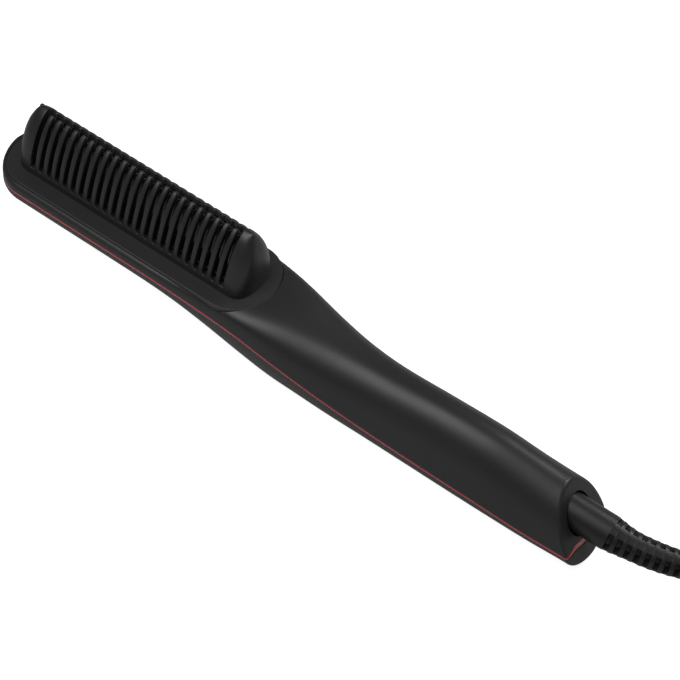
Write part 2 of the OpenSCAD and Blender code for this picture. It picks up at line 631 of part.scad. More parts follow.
// A turn is four quarters: a run, a fold, a run back and a fold
function hank_point(t) = let (
  f = t - floor(t),
  side = f < 0.5 ? 1 : -1,
  g = 4 * (f < 0.5 ? f : f - 0.5),
  r = hank_radius(t),
  px = g < 1 ? hank_run * (g - 0.5) : hank_run / 2 + r * sin(180 * (g - 1)),
  py = g < 1 ? r - waist(px) : r * cos(180 * (g - 1))
) [hank_mid[0] + side * px, hank_mid[1] + side * py, hank_height(t)];
hank_loops = [for (k = [0 : hank_last * hank_rings - 1]) hank_point(k / hank_rings)];
hank_end = [hank_start[0], hank_start[1], hank_start[2] + 3 * hank_rise];
hank_route = concat([hank_start - [6, 0, 0]], hank_loops, [hank_end, hank_end + [6, 0, 0]]);
hank_probe = [for (k = [0 : 0.5 : hank_last * hank_rings - 1]) hank_point(k / hank_rings)];
hank_gap = min([for (i = [0 : len(hank_probe) - 13]) for (j = [i + 12 : len(hank_probe) - 1])
  norm(hank_probe[i] - hank_probe[j])]) - cord_d;
echo(hank_least_gap = hank_gap);
module cord_hank() color("#202022") tube(hank_route, cord_r, 6, [1, 0, 0], [1, 0, 0]);

// Tie: a flat band round the hank's waist
tie_t = 0.5;
tie_w = 6;
tie_near = hank_mid[1] - 18.5;
tie_far = hank_mid[1] + 20.4;
module tie_outline(grow) {
  y0 = tie_near - grow;
  y1 = tie_far + grow;
  z0 = tie_t - grow;
  z1 = hank_end[2] + cord_r + 0.3 + grow;
  r = 2.5;
  union() {
    translate([y0 + r, z0]) square([y1 - y0 - 2 * r, z1 - z0]);
    translate([y0, z0 + r]) square([y1 - y0, z1 - z0 - 2 * r]);
    for (y = [y0 + r, y1 - r]) for (z = [z0 + r, z1 - r]) translate([y, z]) circle(r = r);
  }
}
module cord_tie() color("#141416") translate([hank_mid[0] - tie_w / 2, 0, 0]) rotate([90, 0, 90])
  linear_extrude(tie_w) difference() {
    tie_outline(tie_t);
    tie_outline(0);
  }

// Tail and plug: the plug lies on the hank
plug_x = 310;
plug_y = 14.7;
plug_z = 32.4;
tail_points = [
  hank_end + [6, 0, 0], [277, 32.2, 23.8], [288, 26.7, 27], [298, 20, 30.8], [305, 15.8, 32.3],
  [plug_x, plug_y, plug_z]
];
module cord_tail() color("#202022") tube(tail_points, cord_r, 10, [1, 0, 0], [1, 0, 0]);

plug_len = 34;
plug_face = plug_x + 16 + plug_len;
plug_half = 13.6 / 2;
pin_r = 2;
pin_len = 19;
module plug_body() color("#1d1d1f") translate([plug_x, plug_y, plug_z]) union() {
  rotate([0, 90, 0]) cylinder(r1 = 3.6, r2 = 5.6, h = 14);
  for (i = [0 : 3]) translate([2 + 3.2 * i, 0, 0]) rotate([0, 90, 0]) cylinder(r = 4.6 + 0.45 * i, h = 1.4);
  intersection() {
    translate([14, 0, -plug_half]) linear_extrude(2 * plug_half) polygon([
      [0, -7], [9, -14.5], [16 + plug_len - 14, -17.6], [16 + plug_len - 14, 17.6], [9, 14.5], [0, 7]]);
    rotate([90, 0, 0]) translate([0, 0, -20]) linear_extrude(40) polygon([
      [14, -5], [20, -plug_half], [46, -plug_half], [16 + plug_len, 1 - plug_half],
      [16 + plug_len, plug_half - 1], [46, plug_half], [20, plug_half], [14, 5]]);
  }
}
module plug_pin(side) color("#cfd0d2") translate([plug_face, plug_y + side * pin_gap / 2, plug_z])
  rotate([0, 90, 0]) union() {
    cylinder(r = pin_r, h = pin_len - 1);
    translate([0, 0, pin_len - 1]) cylinder(r1 = pin_r, r2 = pin_r - 0.8, h = 1);
  }
module plug_pin_near() plug_pin(-1);
module plug_pin_far() plug_pin(1);

upper_shell();
lower_shell();
accent_strip();
bezel();
cage();
heated_comb();
heater_near();
heater_far();
clamp_bar();
heat_carrier();
thermistor();
thermal_fuse();
heater_leads();
circuit_board();
power_block();
capacitor();
display();
lens();
panel();
button_power();
button_plus();
button_minus();
switch_power();
switch_plus();
switch_minus();
screw_head_front();
screw_head_rear();
screw_grip();
swivel_bush();
swivel_barrel();
slip_ring_live();
slip_ring_neutral();
brush_live();
brush_neutral();
strain_relief();
cord_lead();
cord_hank();
cord_tie();
cord_tail();
plug_body();
plug_pin_near();
plug_pin_far();
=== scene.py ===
import math

import bmesh
import bpy
import numpy as np
from mathutils import Matrix, Vector


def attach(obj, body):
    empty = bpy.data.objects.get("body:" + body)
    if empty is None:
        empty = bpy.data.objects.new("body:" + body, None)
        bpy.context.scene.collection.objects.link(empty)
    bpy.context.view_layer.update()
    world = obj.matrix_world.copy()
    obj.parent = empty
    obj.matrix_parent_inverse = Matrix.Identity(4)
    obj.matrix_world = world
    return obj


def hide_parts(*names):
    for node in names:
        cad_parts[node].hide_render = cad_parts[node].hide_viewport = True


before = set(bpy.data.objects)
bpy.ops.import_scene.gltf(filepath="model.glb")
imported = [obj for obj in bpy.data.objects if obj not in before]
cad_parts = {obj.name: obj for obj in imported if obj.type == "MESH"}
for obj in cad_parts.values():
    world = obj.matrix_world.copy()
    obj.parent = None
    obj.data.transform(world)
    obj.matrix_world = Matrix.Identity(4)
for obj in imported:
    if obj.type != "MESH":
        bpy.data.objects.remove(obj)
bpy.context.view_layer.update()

# Camera: a long lens over the near side and the cord end of the comb, rolled a little
# clockwise, so that the comb runs from the upper left to the lower right of the frame.
mm = 0.001
camera_place = Vector((198.92, -348.77, 511.78)) * mm
camera_turn = math.radians(26.95)
camera_height = math.radians(50.82)
camera_roll = math.radians(10.42)
camera_back = Vector((
    math.sin(camera_turn) * math.cos(camera_height),
    -math.cos(camera_turn) * math.cos(camera_height),
    math.sin(camera_height),
))
level_right = Vector((math.cos(camera_turn), math.sin(camera_turn), 0))
level_up = camera_back.cross(level_right)
camera_right = level_right * math.cos(camera_roll) + level_up * math.sin(camera_roll)
camera_up = level_up * math.cos(camera_roll) - level_right * math.sin(camera_roll)
camera_data = bpy.data.cameras.new("camera")
camera_data.sensor_width = 36
camera_data.lens = 84.7
camera_data.clip_end = 20
camera = bpy.data.objects.new("camera", camera_data)
camera.matrix_world = Matrix.Translation(camera_place) @ Matrix(
    (camera_right, camera_up, camera_back)).transposed().to_4x4()
bpy.context.scene.collection.objects.link(camera)
bpy.context.scene.camera = camera

# Cord: a round two-core lead with a matte black sheath. It leaves the strain relief, comes
# down to the table and is folded there into a tied hank of four layers, with the plug on it.
cord_width = 5.6
lead_line = [
    (195.3, 16.9, 18.5), (203, 22.2, 17.6), (212, 27.4, 14.8), (222, 31.4, 10.8),
    (234, 33.5, 6.4), (246, 33.7, 3.9), (256, 33.7, 3.4),
]
relief_start = 147.5
relief_bend = 75.0
relief_length = 46.4
relief_rings = 13
relief_pitch = relief_length / relief_rings
swivel_height = 18.5
hank_run = 84.0
hank_inner = 17.0
hank_step = 7.0
hank_rise = 6.3
hank_pinch = 10.0
hank_layers = 4
layer_turns = 1.5
hank_outer = hank_inner + layer_turns * hank_step
hank_start = (lead_line[-1][0] + 6, lead_line[-1][1], lead_line[-1][2])
hank_middle = (hank_start[0] + hank_run / 2, hank_start[1] - hank_outer)
hank_end = (hank_start[0], hank_start[1], hank_start[2] + (hank_layers - 1) * hank_rise)
plug_place = (310.0, 14.7, 32.4)
tail_line = [
    hank_end, (hank_end[0] + 6, hank_end[1], hank_end[2]), (277, 32.2, 23.8), (288, 26.7, 27),
    (298, 20, 30.8), (305, 15.8, 32.3), plug_place,
]


def relief_point(along):
    """The strain relief's middle, that way along its gentle bend."""
    turn = along / relief_bend
    return (relief_start + relief_bend * math.sin(turn), relief_bend * (1 - math.cos(turn)), swivel_height)


def hank_point(turns):
    """The cord's middle after that many turns round the hank: straight runs, and a bow at each end."""
    part = turns - math.floor(turns)
    side = 1 if part < 0.5 else -1
    quarter = 4 * (part if part < 0.5 else part - 0.5)
    radius = hank_inner + hank_step * abs(turns % (2 * layer_turns) - layer_turns)
    if quarter < 1:
        x = hank_run * (quarter - 0.5)
        y = radius - hank_pinch * (1 + math.cos(2 * math.pi * x / hank_run)) / 2
    else:
        x = hank_run / 2 + radius * math.sin(math.pi * (quarter - 1))
        y = radius * math.cos(math.pi * (quarter - 1))
    height = hank_start[2]
    for layer in range(1, hank_layers):
        climb = min(max((turns - layer * layer_turns) / 0.25, 0), 1)
        height += hank_rise * (3 * climb ** 2 - 2 * climb ** 3)
    return (hank_middle[0] + side * x, hank_middle[1] + side * y, height)


hank_points_a_turn = 48
hank_last = int(hank_layers * layer_turns * hank_points_a_turn)
hank_line = [hank_point(k / hank_points_a_turn) for k in range(1, hank_last)]
relief_end = relief_point(relief_length)


def between(start, end, start_pull, end_pull, t):
    """The place at t, 0 to 1, on a smooth curve from start to end with these pulls at its ends."""
    return (
        (2 * t ** 3 - 3 * t ** 2 + 1) * start + (t ** 3 - 2 * t ** 2 + t) * start_pull
        + (3 * t ** 2 - 2 * t ** 3) * end + (t ** 3 - t ** 2) * end_pull
    )


def walked_along(path):
    """How far along the line each of its points lies."""
    return np.concatenate([[0], np.cumsum(np.linalg.norm(np.diff(path, axis=0), axis=1))])


def spread(path, count):
    """The same line with count points at even steps."""
    path = np.asarray(path, float)
    walked = walked_along(path)
    places = np.linspace(0, walked[-1], count)
    return np.column_stack([np.interp(places, walked, path[:, k]) for k in range(path.shape[1])])


def smooth_line(points, spacing):
    """Points about every spacing millimetres along a rounded line through the given ones."""
    given = [np.array(p, float) for p in points]
    fine = []
    for i in range(len(given) - 1):
        before = given[max(i - 1, 0)]
        after = given[min(i + 2, len(given) - 1)]
        start_pull = (given[i + 1] - before) / 2
        end_pull = (after - given[i]) / 2
        for t in np.linspace(0, 1, 12, endpoint=False):
            fine.append(between(given[i], given[i + 1], start_pull, end_pull, t))
    fine.append(given[-1])
    return spread(fine, max(2, int(walked_along(fine)[-1] / spacing)))


def link(name, mesh, material, body):
    piece = bpy.data.objects.new(name, mesh)
    bpy.context.scene.collection.objects.link(piece)
    piece.data.materials.clear()
    piece.data.materials.append(material)
    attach(piece, body)
    return piece


def nodes_of(name):
    material = bpy.data.materials.new(name)
    material.use_nodes = True
    tree = material.node_tree
    return material, tree, tree.nodes["Principled BSDF"]


def noise(tree, place, scale, detail):
    """An uneven pattern in the solid, from 0 to 1."""
    cloud = tree.nodes.new("ShaderNodeTexNoise")
    cloud.inputs["Scale"].default_value = scale
    cloud.inputs["Detail"].default_value = detail
    tree.links.new(place, cloud.inputs["Vector"])
    return cloud.outputs["Fac"]


def tint(tree, shader, pattern, dark, light):
    """The surface's colour runs from dark to light with the pattern."""
    mix = tree.nodes.new("ShaderNodeMix")
    mix.data_type = "RGBA"
    mix.inputs["A"].default_value = (*dark, 1)
    mix.inputs["B"].default_value = (*light, 1)
    tree.links.new(pattern, mix.inputs["Factor"])
    tree.links.new(mix.outputs["Result"], shader.inputs["Base Color"])


def gloss(tree, shader, pattern, smooth, rough):
    """The surface's roughness runs from smooth to rough with the pattern."""
    level = tree.nodes.new("ShaderNodeMapRange")
    level.inputs["To Min"].default_value = smooth
    level.inputs["To Max"].default_value = rough
    tree.links.new(pattern, level.inputs["Value"])
    tree.links.new(level.outputs["Result"], shader.inputs["Roughness"])


def embossed(tree, shader, pattern, strength, distance):
    """The pattern stands up from the surface a little."""
    bump = tree.nodes.new("ShaderNodeBump")
    bump.inputs["Strength"].default_value = strength
    bump.inputs["Distance"].default_value = distance
    tree.links.new(pattern, bump.inputs["Height"])
    tree.links.new(bump.outputs["Normal"], shader.inputs["Normal"])


def moulded(name, colour, roughness, grain=0.00035, depth=0.06, mottle=0.12, coat=0.0):
    """Moulded plastic: an even colour with faint flow clouds, and a fine eroded grain."""
    material, tree, shader = nodes_of(name)
    place = tree.nodes.new("ShaderNodeTexCoord").outputs["Object"]
    clouds = noise(tree, place, 38, 4)
    tint(tree, shader, clouds, [c * (1 - mottle) for c in colour], [c * (1 + mottle) for c in colour])
    gloss(tree, shader, clouds, roughness - 0.03, roughness + 0.03)
    embossed(tree, shader, noise(tree, place, 1 / grain, 2), depth, grain)
    shader.inputs["Coat Weight"].default_value = coat
    shader.inputs["Coat Roughness"].default_value = 0.12
    return material


sheath = moulded("cord_sheath", (0.012, 0.012, 0.0125), 0.5, depth=0.1)
cord_line = np.vstack([
    smooth_line([relief_end] + lead_line + [hank_start], 5),
    smooth_line(hank_line, 3.5),
    smooth_line(tail_line, 4),
])
cord_curve = bpy.data.curves.new("cord", "CURVE")
cord_curve.dimensions = "3D"
# The bevel is 1 and each point's radius is the cord's own, so that the curve's box is the cord's.
cord_curve.bevel_depth = 1
cord_curve.bevel_resolution = 6
cord_curve.use_fill_caps = True
cord_spline = cord_curve.splines.new("POLY")
cord_spline.points.add(len(cord_line) - 1)
for point, place in zip(cord_spline.points, cord_line):
    point.co = (*(place * mm), 1)
    point.radius = cord_width / 2 * mm
cord = link("cord", cord_curve, sheath, "cord_swivel")
cord_spline.use_smooth = True
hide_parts("cord_lead", "cord_hank", "cord_tail")

# Body shells: two half shells moulded in charcoal plastic with a satin finish. They meet in a
# seam that runs round the whole comb, and three screws from below hold them together.

# Stations along the body: X, half width, seam, top, bottom, and the roundness of the upper and
# of the lower half, where 2 is an ellipse and more is squarer.
body_stations = np.array([
    [-126, 20.8, 27.5, 33.0, 17.0, 6.0, 2.2],
    [-62, 20.8, 27.5, 33.0, 16.6, 6.0, 2.2],
    [-46, 20.5, 26.8, 33.0, 14.4, 6.0, 2.2],
    [-29, 19.8, 24.9, 33.2, 8.6, 5.6, 2.2],
    [-14, 19.0, 22.3, 33.7, 2.0, 4.2, 2.1],
    [0, 18.1, 18.6, 33.5, -1.4, 3.0, 2.1],
    [14, 16.7, 14.5, 32.2, -3.2, 2.5, 2.0],
    [29, 15.4, 11.1, 31.2, -4.1, 2.2, 2.0],
    [46, 14.5, 8.8, 31.1, -4.4, 2.1, 1.9],
    [70, 14.6, 8.3, 32.9, -3.4, 2.0, 1.9],
    [94, 14.7, 8.3, 33.6, -2.8, 2.0, 1.9],
    [119, 15.0, 8.6, 32.4, -1.2, 1.9, 1.8],
    [140, 15.2, 9.9, 31.4, 1.5, 1.9, 1.8],
])
HALF, SEAM, TOP, BOTTOM, UPPER, LOWER = range(1, 7)
nose_x = -143.8
nose_start = -126.0
rake_start = 92.0
end_x = 145.2
end_lean = 0.64
end_middle = 9.0
end_middle_x = end_x - end_lean * end_middle
end_edge = 1.0
end_skin = 2.5
wall = 2.0
head_extra = 1.4
deck_extra = 2.8
seam_gap = 1.3
end_gap = 2.4
seam_edge = 0.25
back_blend = 1.2
# The seam across the end face: Y and height of its middle.
end_seam = [(8, 10), (4, 9.2), (0, 8.6), (-4, 9.2), (-8, 10)]
deck = 33.0


def body_at(x, column):
    """The body's measure at x, on a smooth curve through the stations."""
    places = body_stations[:, 0]
    values = body_stations[:, column]
    slopes = np.zeros(len(values))
    slopes[1:-1] = (values[2:] - values[:-2]) / (places[2:] - places[:-2])
    x = min(max(x, places[0]), places[-1])
    i = min(int(np.searchsorted(places, x, side="right")) - 1, len(places) - 2)
    span = places[i + 1] - places[i]
    t = (x - places[i]) / span
    return between(values[i], values[i + 1], span * slopes[i], span * slopes[i + 1], t)


def nose_fade(x, tip):
    return 1.0 if x >= nose_start else math.sqrt(max(0, 1 - ((nose_start - x) / (nose_start - tip)) ** 2))


def rake(x):
    return min(max((x - rake_start) / (end_middle_x - rake_start), 0), 1) * end_lean


def rounded(path, radius):
    """The line with both its ends turned inward in a small arc, as a moulded edge is."""
    walked = walked_along(path)
    inner = [np.array([np.interp(d, walked, path[:, k]) for k in range(2)])
             for d in (radius, walked[-1] - radius)]
    kept = (walked > radius) & (walked < walked[-1] - radius)
    body = np.vstack([inner[0], path[kept], inner[1]])
    arcs = []
    for corner, join, way in ((path[0], inner[0], -1), (path[-1], inner[1], 1)):
        start = corner + np.array([way * radius, 0])
        arcs.append([(1 - t) ** 2 * start + 2 * t * (1 - t) * corner + t * t * join
                     for t in np.linspace(0, 1, 4, endpoint=False)])
    return np.vstack([arcs[0], spread(body, 60), arcs[1][::-1]])


def body_ring(x, up, inset=0.0, thin=0.0, tip=nose_x, drop=0.0, edge=0.0):
    """One cross-section of a shell, from seam to seam over the top (up 1) or below (up -1).

    It is taken in by inset at the sides and by thin at the top or bottom. The flat back runs
    softly into the curve above it.
    """
    at = x - drop
    fade = nose_fade(x, tip)
    power = 2 / body_at(at, UPPER if up > 0 else LOWER)
    half = (body_at(at, HALF) - inset) * fade
    seam = body_at(at, SEAM) + up * seam_gap / 2
    if up > 0:
        rise = (body_at(at, TOP) - thin - seam) * (0.88 + 0.12 * math.sqrt(fade))
    else:
        rise = (seam - body_at(at, BOTTOM) - thin) * fade
    angles = np.linspace(0, math.pi, 721)
    across = np.cos(angles)
    y = half * np.sign(across) * np.abs(across) ** power
    z = seam + up * rise * np.clip(np.sin(angles), 0, 1) ** power
    if up < 0:
        blend = thin + (z - thin + back_blend) ** 2 / (4 * back_blend)
        z = np.where(z > thin + back_blend, z, np.where(z < thin - back_blend, thin, blend))
    path = np.column_stack([y, z])
    if edge:
        path = rounded(path, min(edge, 0.4 * half, 0.3 * max(rise, 0.1)))
    else:
        path = spread(path, 41)
    return np.column_stack([x - rake(x) * (path[:, 1] - end_middle) - drop, path])


def mesh_of(name, points, faces):
    """A closed mesh from points in millimetres."""
    mesh = bpy.data.meshes.new(name)
    mesh.from_pydata((np.asarray(points, float) * mm).tolist(), [], faces)
    work = bmesh.new()
    work.from_mesh(mesh)
    bmesh.ops.recalc_face_normals(work, faces=work.faces)
    work.to_mesh(mesh)
    work.free()
    return mesh


def shell_mesh(name, up):
    """A half shell with its wall, which is thicker in the head, most of all under the deck."""
    thick_extra = deck_extra if up > 0 else 0.0
    inner_tip = nose_x + wall + head_extra
    outer = []
    inner = []
    for turn in np.radians(np.concatenate([[88.6, 86.5], np.arange(84, 2, -4)])):
        outer.append(body_ring(nose_start - (nose_start - nose_x) * math.sin(turn), up, edge=seam_edge))
        x = nose_start - (nose_start - inner_tip) * math.sin(turn)
        inner.append(body_ring(x, up, wall + head_extra, wall + thick_extra, tip=inner_tip))
    grip_stations = np.linspace(rake_start, end_middle_x - 1.5, 18)
    for x in np.concatenate([np.arange(nose_start, rake_start, 3), grip_stations]):
        part = min(max(-x / 30, 0), 1)
        outer.append(body_ring(x, up, edge=seam_edge))
        inner.append(body_ring(x, up, wall + head_extra * part, wall + thick_extra * part, tip=inner_tip))
    for turn in np.radians(np.linspace(0, 90, 6)):
        curve = end_edge * (1 - math.cos(turn))
        outer_drop = end_edge * (1 - math.sin(turn))
        inner_drop = end_skin + 0.75 * (1 - math.sin(turn))
        outer.append(body_ring(end_middle_x, up, curve, curve, drop=outer_drop, edge=seam_edge))
        inner.append(body_ring(end_middle_x, up, wall + 0.2, wall, tip=inner_tip, drop=inner_drop))
    rings = len(outer)
    per_outer = len(outer[0])
    per_inner = len(inner[0])
    points = [p for ring in outer + inner for p in ring]
    first = len(points)
    for depth in (0, wall * 1.25):
        for y, height in end_seam:
            z = height + up * end_gap / 2
            points.append((end_x - end_lean * z - depth, y, z))

    def o(i, k):
        return i * per_outer + k

    def q(i, k):
        return rings * per_outer + i * per_inner + k

    faces = []
    for i in range(rings - 1):
        faces += [(o(i, k), o(i + 1, k), o(i + 1, k + 1), o(i, k + 1)) for k in range(per_outer - 1)]
        faces += [(q(i, k), q(i, k + 1), q(i + 1, k + 1), q(i + 1, k)) for k in range(per_inner - 1)]
        faces.append((o(i, 0), q(i, 0), q(i + 1, 0), o(i + 1, 0)))
        k, j = per_outer - 1, per_inner - 1
        faces.append((o(i, k), o(i + 1, k), q(i + 1, j), q(i, j)))
    last = rings - 1
    seams = len(end_seam)
    faces.append([o(0, k) for k in range(per_outer)])
    faces.append([q(0, k) for k in range(per_inner - 1, -1, -1)])
    faces.append((o(0, 0), o(0, per_outer - 1), q(0, per_inner - 1), q(0, 0)))
    faces.append([o(last, k) for k in range(per_outer - 1, -1, -1)] + [first + j for j in range(seams)])
    inner_seam = [first + seams + j for j in range(seams)]
    faces.append([q(last, k) for k in range(per_inner)] + inner_seam[::-1])
    outer_edge = [o(last, 0)] + [first + j for j in range(seams)] + [o(last, per_outer - 1)]
    inner_edge = [q(last, 0)] + inner_seam + [q(last, per_inner - 1)]
    for j in range(seams + 1):
        faces.append((outer_edge[j], inner_edge[j], inner_edge[j + 1], outer_edge[j + 1]))
    return mesh_of(name, points, faces)


def closed_loft(name, rings):
    """A solid skin over closed rings of like count, with a flat face at each end."""
    n = len(rings[0])
    points = [tuple(p) for ring in rings for p in ring]
    faces = [list(range(n)), list(range((len(rings) - 1) * n, len(rings) * n))]
    faces += [(i * n + k, i * n + (k + 1) % n, (i + 1) * n + (k + 1) % n, (i + 1) * n + k)
              for i in range(len(rings) - 1) for k in range(n)]
    return mesh_of(name, points, faces)


def prism(outline, low, high):
    """An upright block with that outline in X and Y."""
    return closed_loft("prism", [[(*p, z) for p in outline] for z in (low, high)])


def turned(profile, start, axis, sides=48):
    """A turned solid: profile is (way along the axis, radius), closed on the axis at both ends."""
    axis = Vector(axis).normalized()
    side = axis.orthogonal().normalized()
    other = axis.cross(side)
    points = []
    for along, radius in profile:
        for k in range(sides):
            angle = 2 * math.pi * k / sides
            out = side * math.cos(angle) + other * math.sin(angle)
            points.append(Vector(start) + axis * along + out * radius)
    n = len(profile)
    faces = [[k for k in range(sides)], [(n - 1) * sides + k for k in range(sides - 1, -1, -1)]]
    for i in range(n - 1):
        for k in range(sides):
            m = (k + 1) % sides
            faces.append((i * sides + k, (i + 1) * sides + k, (i + 1) * sides + m, i * sides + m))
    return mesh_of("turned", [tuple(p) for p in points], faces)


def joined(meshes):
    """Several meshes as one, with their points kept apart."""
    work = bmesh.new()
    for mesh in meshes:
        work.from_mesh(mesh)
    result = bpy.data.meshes.new("joined")
    work.to_mesh(result)
    work.free()
    return result


def carved(mesh, tool, operation="DIFFERENCE"):
    """The first mesh less the second, or fused with it."""
    blank = bpy.data.objects.new("blank", mesh)
    cutter = bpy.data.objects.new("cutter", tool)
    for piece in (blank, cutter):
        bpy.context.scene.collection.objects.link(piece)
    change = blank.modifiers.new("carve", "BOOLEAN")
    change.object = cutter
    change.operation = operation
    change.solver = "MANIFOLD"
    result = bpy.data.meshes.new_from_object(blank.evaluated_get(bpy.context.evaluated_depsgraph_get()))
    bpy.data.objects.remove(blank)
    bpy.data.objects.remove(cutter)
    return result


def finished(mesh, name, crease=35):
    """Smooth shading with crisp edges where the surface turns by more than the crease angle."""
    mesh.name = name
    mesh.shade_smooth()
    mesh.set_sharp_from_angle(angle=math.radians(crease))
    return mesh


def even_normals(piece):
    weight = piece.modifiers.new("even normals", "WEIGHTED_NORMAL")
    weight.keep_sharp = True
    weight.weight = 80


bezel_half = 19.1
bezel_front = -126.5
bezel_front_length = 15.6
bezel_back = -27.0
bezel_back_length = 15.8
bezel_low = 30.0


def bezel_outline(inset):
    """The plate's outline: straight sides, with half an ellipse at the back and at the front."""
    half = bezel_half - inset
    turns = np.radians(np.arange(-90, 90.1, 3))
    back = [(bezel_back + (bezel_back_length - inset) * math.cos(t), half * math.sin(t)) for t in turns]
    front = [(bezel_front - (bezel_front_length - inset) * math.cos(t), -half * math.sin(t)) for t in turns]
    return back + front


def box_outline(x0, x1, half, corner=0.0, steps=6):
    """A rectangle from x0 to x1, half each way in Y, with rounded corners if they have a radius."""
    if not corner:
        return [(x0, -half), (x1, -half), (x1, half), (x0, half)]
    outline = []
    for cx, cy, start in ((x1 - corner, corner - half, -90), (x1 - corner, half - corner, 0),
                          (x0 + corner, half - corner, 90), (x0 + corner, corner - half, 180)):
        for turn in np.radians(np.linspace(start, start + 90, steps)):
            outline.append((cx + corner * math.cos(turn), cy + corner * math.sin(turn)))
    return outline


def post(x, y, low, high, radius):
    return turned([(0, radius), (high - low, radius)], (x, y, low), (0, 0, 1))


grip_screw_x = 18.0
head_screw_x = (-112.0, -40.0)
screw_head = 2.8
screw_shank = 1.4
screw_gap = 0.15
head_gap = 0.3
post_radius = 3.2
post_gap = 0.5
pocket_gap = 0.15
pocket_ledge = 3.0
pocket_depth = 4.8
board_low = 8.9
board_posts = (29.0, 101.0)
panel_x0 = 34.0
panel_x1 = 96.0
panel_width = 15.0
cord_bore = 7.9

charcoal = moulded("satin_charcoal", (0.0145, 0.0148, 0.0155), 0.42, depth=0.05)
seam_at_screw = body_at(grip_screw_x, SEAM)
upper = shell_mesh("upper_shell_skin", 1)
screw_post = post(grip_screw_x, 0, seam_at_screw + post_gap, seam_at_screw + 17.5, post_radius)
upper = carved(upper, screw_post, "UNION")
upper = carved(upper, joined([
    post(grip_screw_x, 0, 0, 24, screw_shank),
    prism(bezel_outline(-pocket_gap), bezel_low, deck + 3),
]))
upper = carved(upper, prism(bezel_outline(pocket_ledge), bezel_low - pocket_depth, bezel_low + 1))
bore_start = (end_middle_x - 25, 0, swivel_height)
upper = carved(upper, turned([(0, cord_bore), (40, cord_bore)], bore_start, (1, 0, 0), 96))
upper_shell = link("shell_upper", finished(upper, "shell_upper"), charcoal, "handle")
even_normals(upper_shell)
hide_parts("upper_shell")

# The lower shell is the same charcoal plastic as the upper one; its lighter colour is painted reflection of
# the pale floor below it.
charcoal_with_painted_reflection = moulded("satin_charcoal_painted_reflection", (0.04, 0.0405, 0.0415), 0.45, depth=0.05)
lower = shell_mesh("lower_shell_skin", -1)
lower = carved(lower, joined(
    [post(grip_screw_x, 0, wall / 2, seam_at_screw - post_gap, post_radius + 0.4)]
    + [post(x, 0, wall / 2, board_low, 2.4) for x in board_posts]
), "UNION")
lower = carved(lower, joined(
    [prism(box_outline(panel_x0, panel_x1, panel_width / 2, 1.2), -1, wall + 1)]
    + [post(x, 0, 0, 30, screw_head + head_gap) for x in head_screw_x]
    + [post(grip_screw_x, 0, -1, 4.6, screw_head + head_gap)]
))
lower = carved(lower, post(grip_screw_x, 0, 4, 30, screw_shank + screw_gap))
lower_shell = link("shell_lower", finished(lower, "shell_lower"), charcoal_with_painted_reflection, "handle")
even_normals(lower_shell)
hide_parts("lower_shell")

# Accent strip: a glossy red band moulded in clear-coated plastic. It is snapped into the seam
# all the way round the comb, and crosses the end face under the cord's collar.
strip_sink = 0.06
strip_depth = 1.5
strip_slack = 0.03
strip_bulge = 0.28
red_gloss = moulded("red_gloss", (0.5, 0.035, 0.055), 0.22, depth=0.0, mottle=0.05, coat=1.0)
red_gloss.node_tree.nodes["Principled BSDF"].inputs["Coat IOR"].default_value = 1.7


def strip_side(side):
    """The seam's line along one side, from the tip of the nose to the end face."""
    tip = nose_x + strip_sink
    xs = [nose_start - (nose_start - tip) * math.sin(t) for t in np.radians(np.arange(89, 1, -3))]
    xs += list(np.arange(nose_start, rake_start, 3)) + list(np.linspace(rake_start, end_middle_x - 1.2, 18))
    line = []
    for x in xs:
        z = body_at(x, SEAM)
        half = (body_at(x, HALF) - strip_sink) * nose_fade(x, tip)
        line.append((x - rake(x) * (z - end_middle), side * half, z))
    return line


def closed_band(name, rings):
    """A solid skin over rings that follow each other in a loop, the first again after the last."""
    n = len(rings[0])
    m = len(rings)
    points = [tuple(p) for ring in rings for p in ring]
    faces = [(i * n + c, i * n + (c + 1) % n, (i + 1) % m * n + (c + 1) % n, (i + 1) % m * n + c)
             for i in range(m) for c in range(n)]
    return mesh_of(name, points, faces)


corner_z = body_at(end_middle_x, SEAM)
corner_y = body_at(end_middle_x, HALF)
face_line = [(end_x - end_lean * z - strip_sink, y, z)
             for y, z in [(corner_y - end_edge, corner_z)] + end_seam + [(end_edge - corner_y, corner_z)]]
strip_sides = strip_side(-1)[::-1] + strip_side(1)
strip_line = strip_sides + face_line
strip_halves = [seam_gap / 2 - strip_slack] * (len(strip_sides) + 1)
strip_halves += [end_gap / 2 - strip_slack] * len(end_seam) + [seam_gap / 2 - strip_slack]
strip_line = np.array(strip_line)
strip_count = len(strip_line)
ahead = np.roll(strip_line, -1, axis=0) - strip_line
behind = strip_line - np.roll(strip_line, 1, axis=0)
ahead /= np.linalg.norm(ahead, axis=1)[:, None]
behind /= np.linalg.norm(behind, axis=1)[:, None]
along = ahead + behind
along /= np.linalg.norm(along, axis=1)[:, None]
inward = np.column_stack([along[:, 1], -along[:, 0], np.zeros(strip_count)])
inward /= np.linalg.norm(inward, axis=1)[:, None]
miter = np.clip((ahead * along).sum(axis=1), 0.6, 1)
inward /= miter[:, None]
if (inward[strip_count // 3] * strip_line[strip_count // 3])[1] > 0:
    inward = -inward
# The strip's section: depth below its face, and share of its half width.
strip_section = [
    (strip_depth, 1), (strip_bulge, 1), (0.09, 0.78), (0.02, 0.4), (0, 0),
    (0.02, -0.4), (0.09, -0.78), (strip_bulge, -1), (strip_depth, -1),
]
strip_slants = [rake(x) for x, _, _ in strip_sides] + [end_lean] * len(face_line)
strip_rings = []
for i in range(strip_count):
    rise = np.array([-strip_slants[i], 0, 1]) * strip_halves[i]
    strip_rings.append([strip_line[i] + inward[i] * depth + rise * share for depth, share in strip_section])
strip_mesh = finished(closed_band("accent", strip_rings), "accent_band", 50)
accent = link("accent_band", strip_mesh, red_gloss, "handle")
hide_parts("accent_strip")

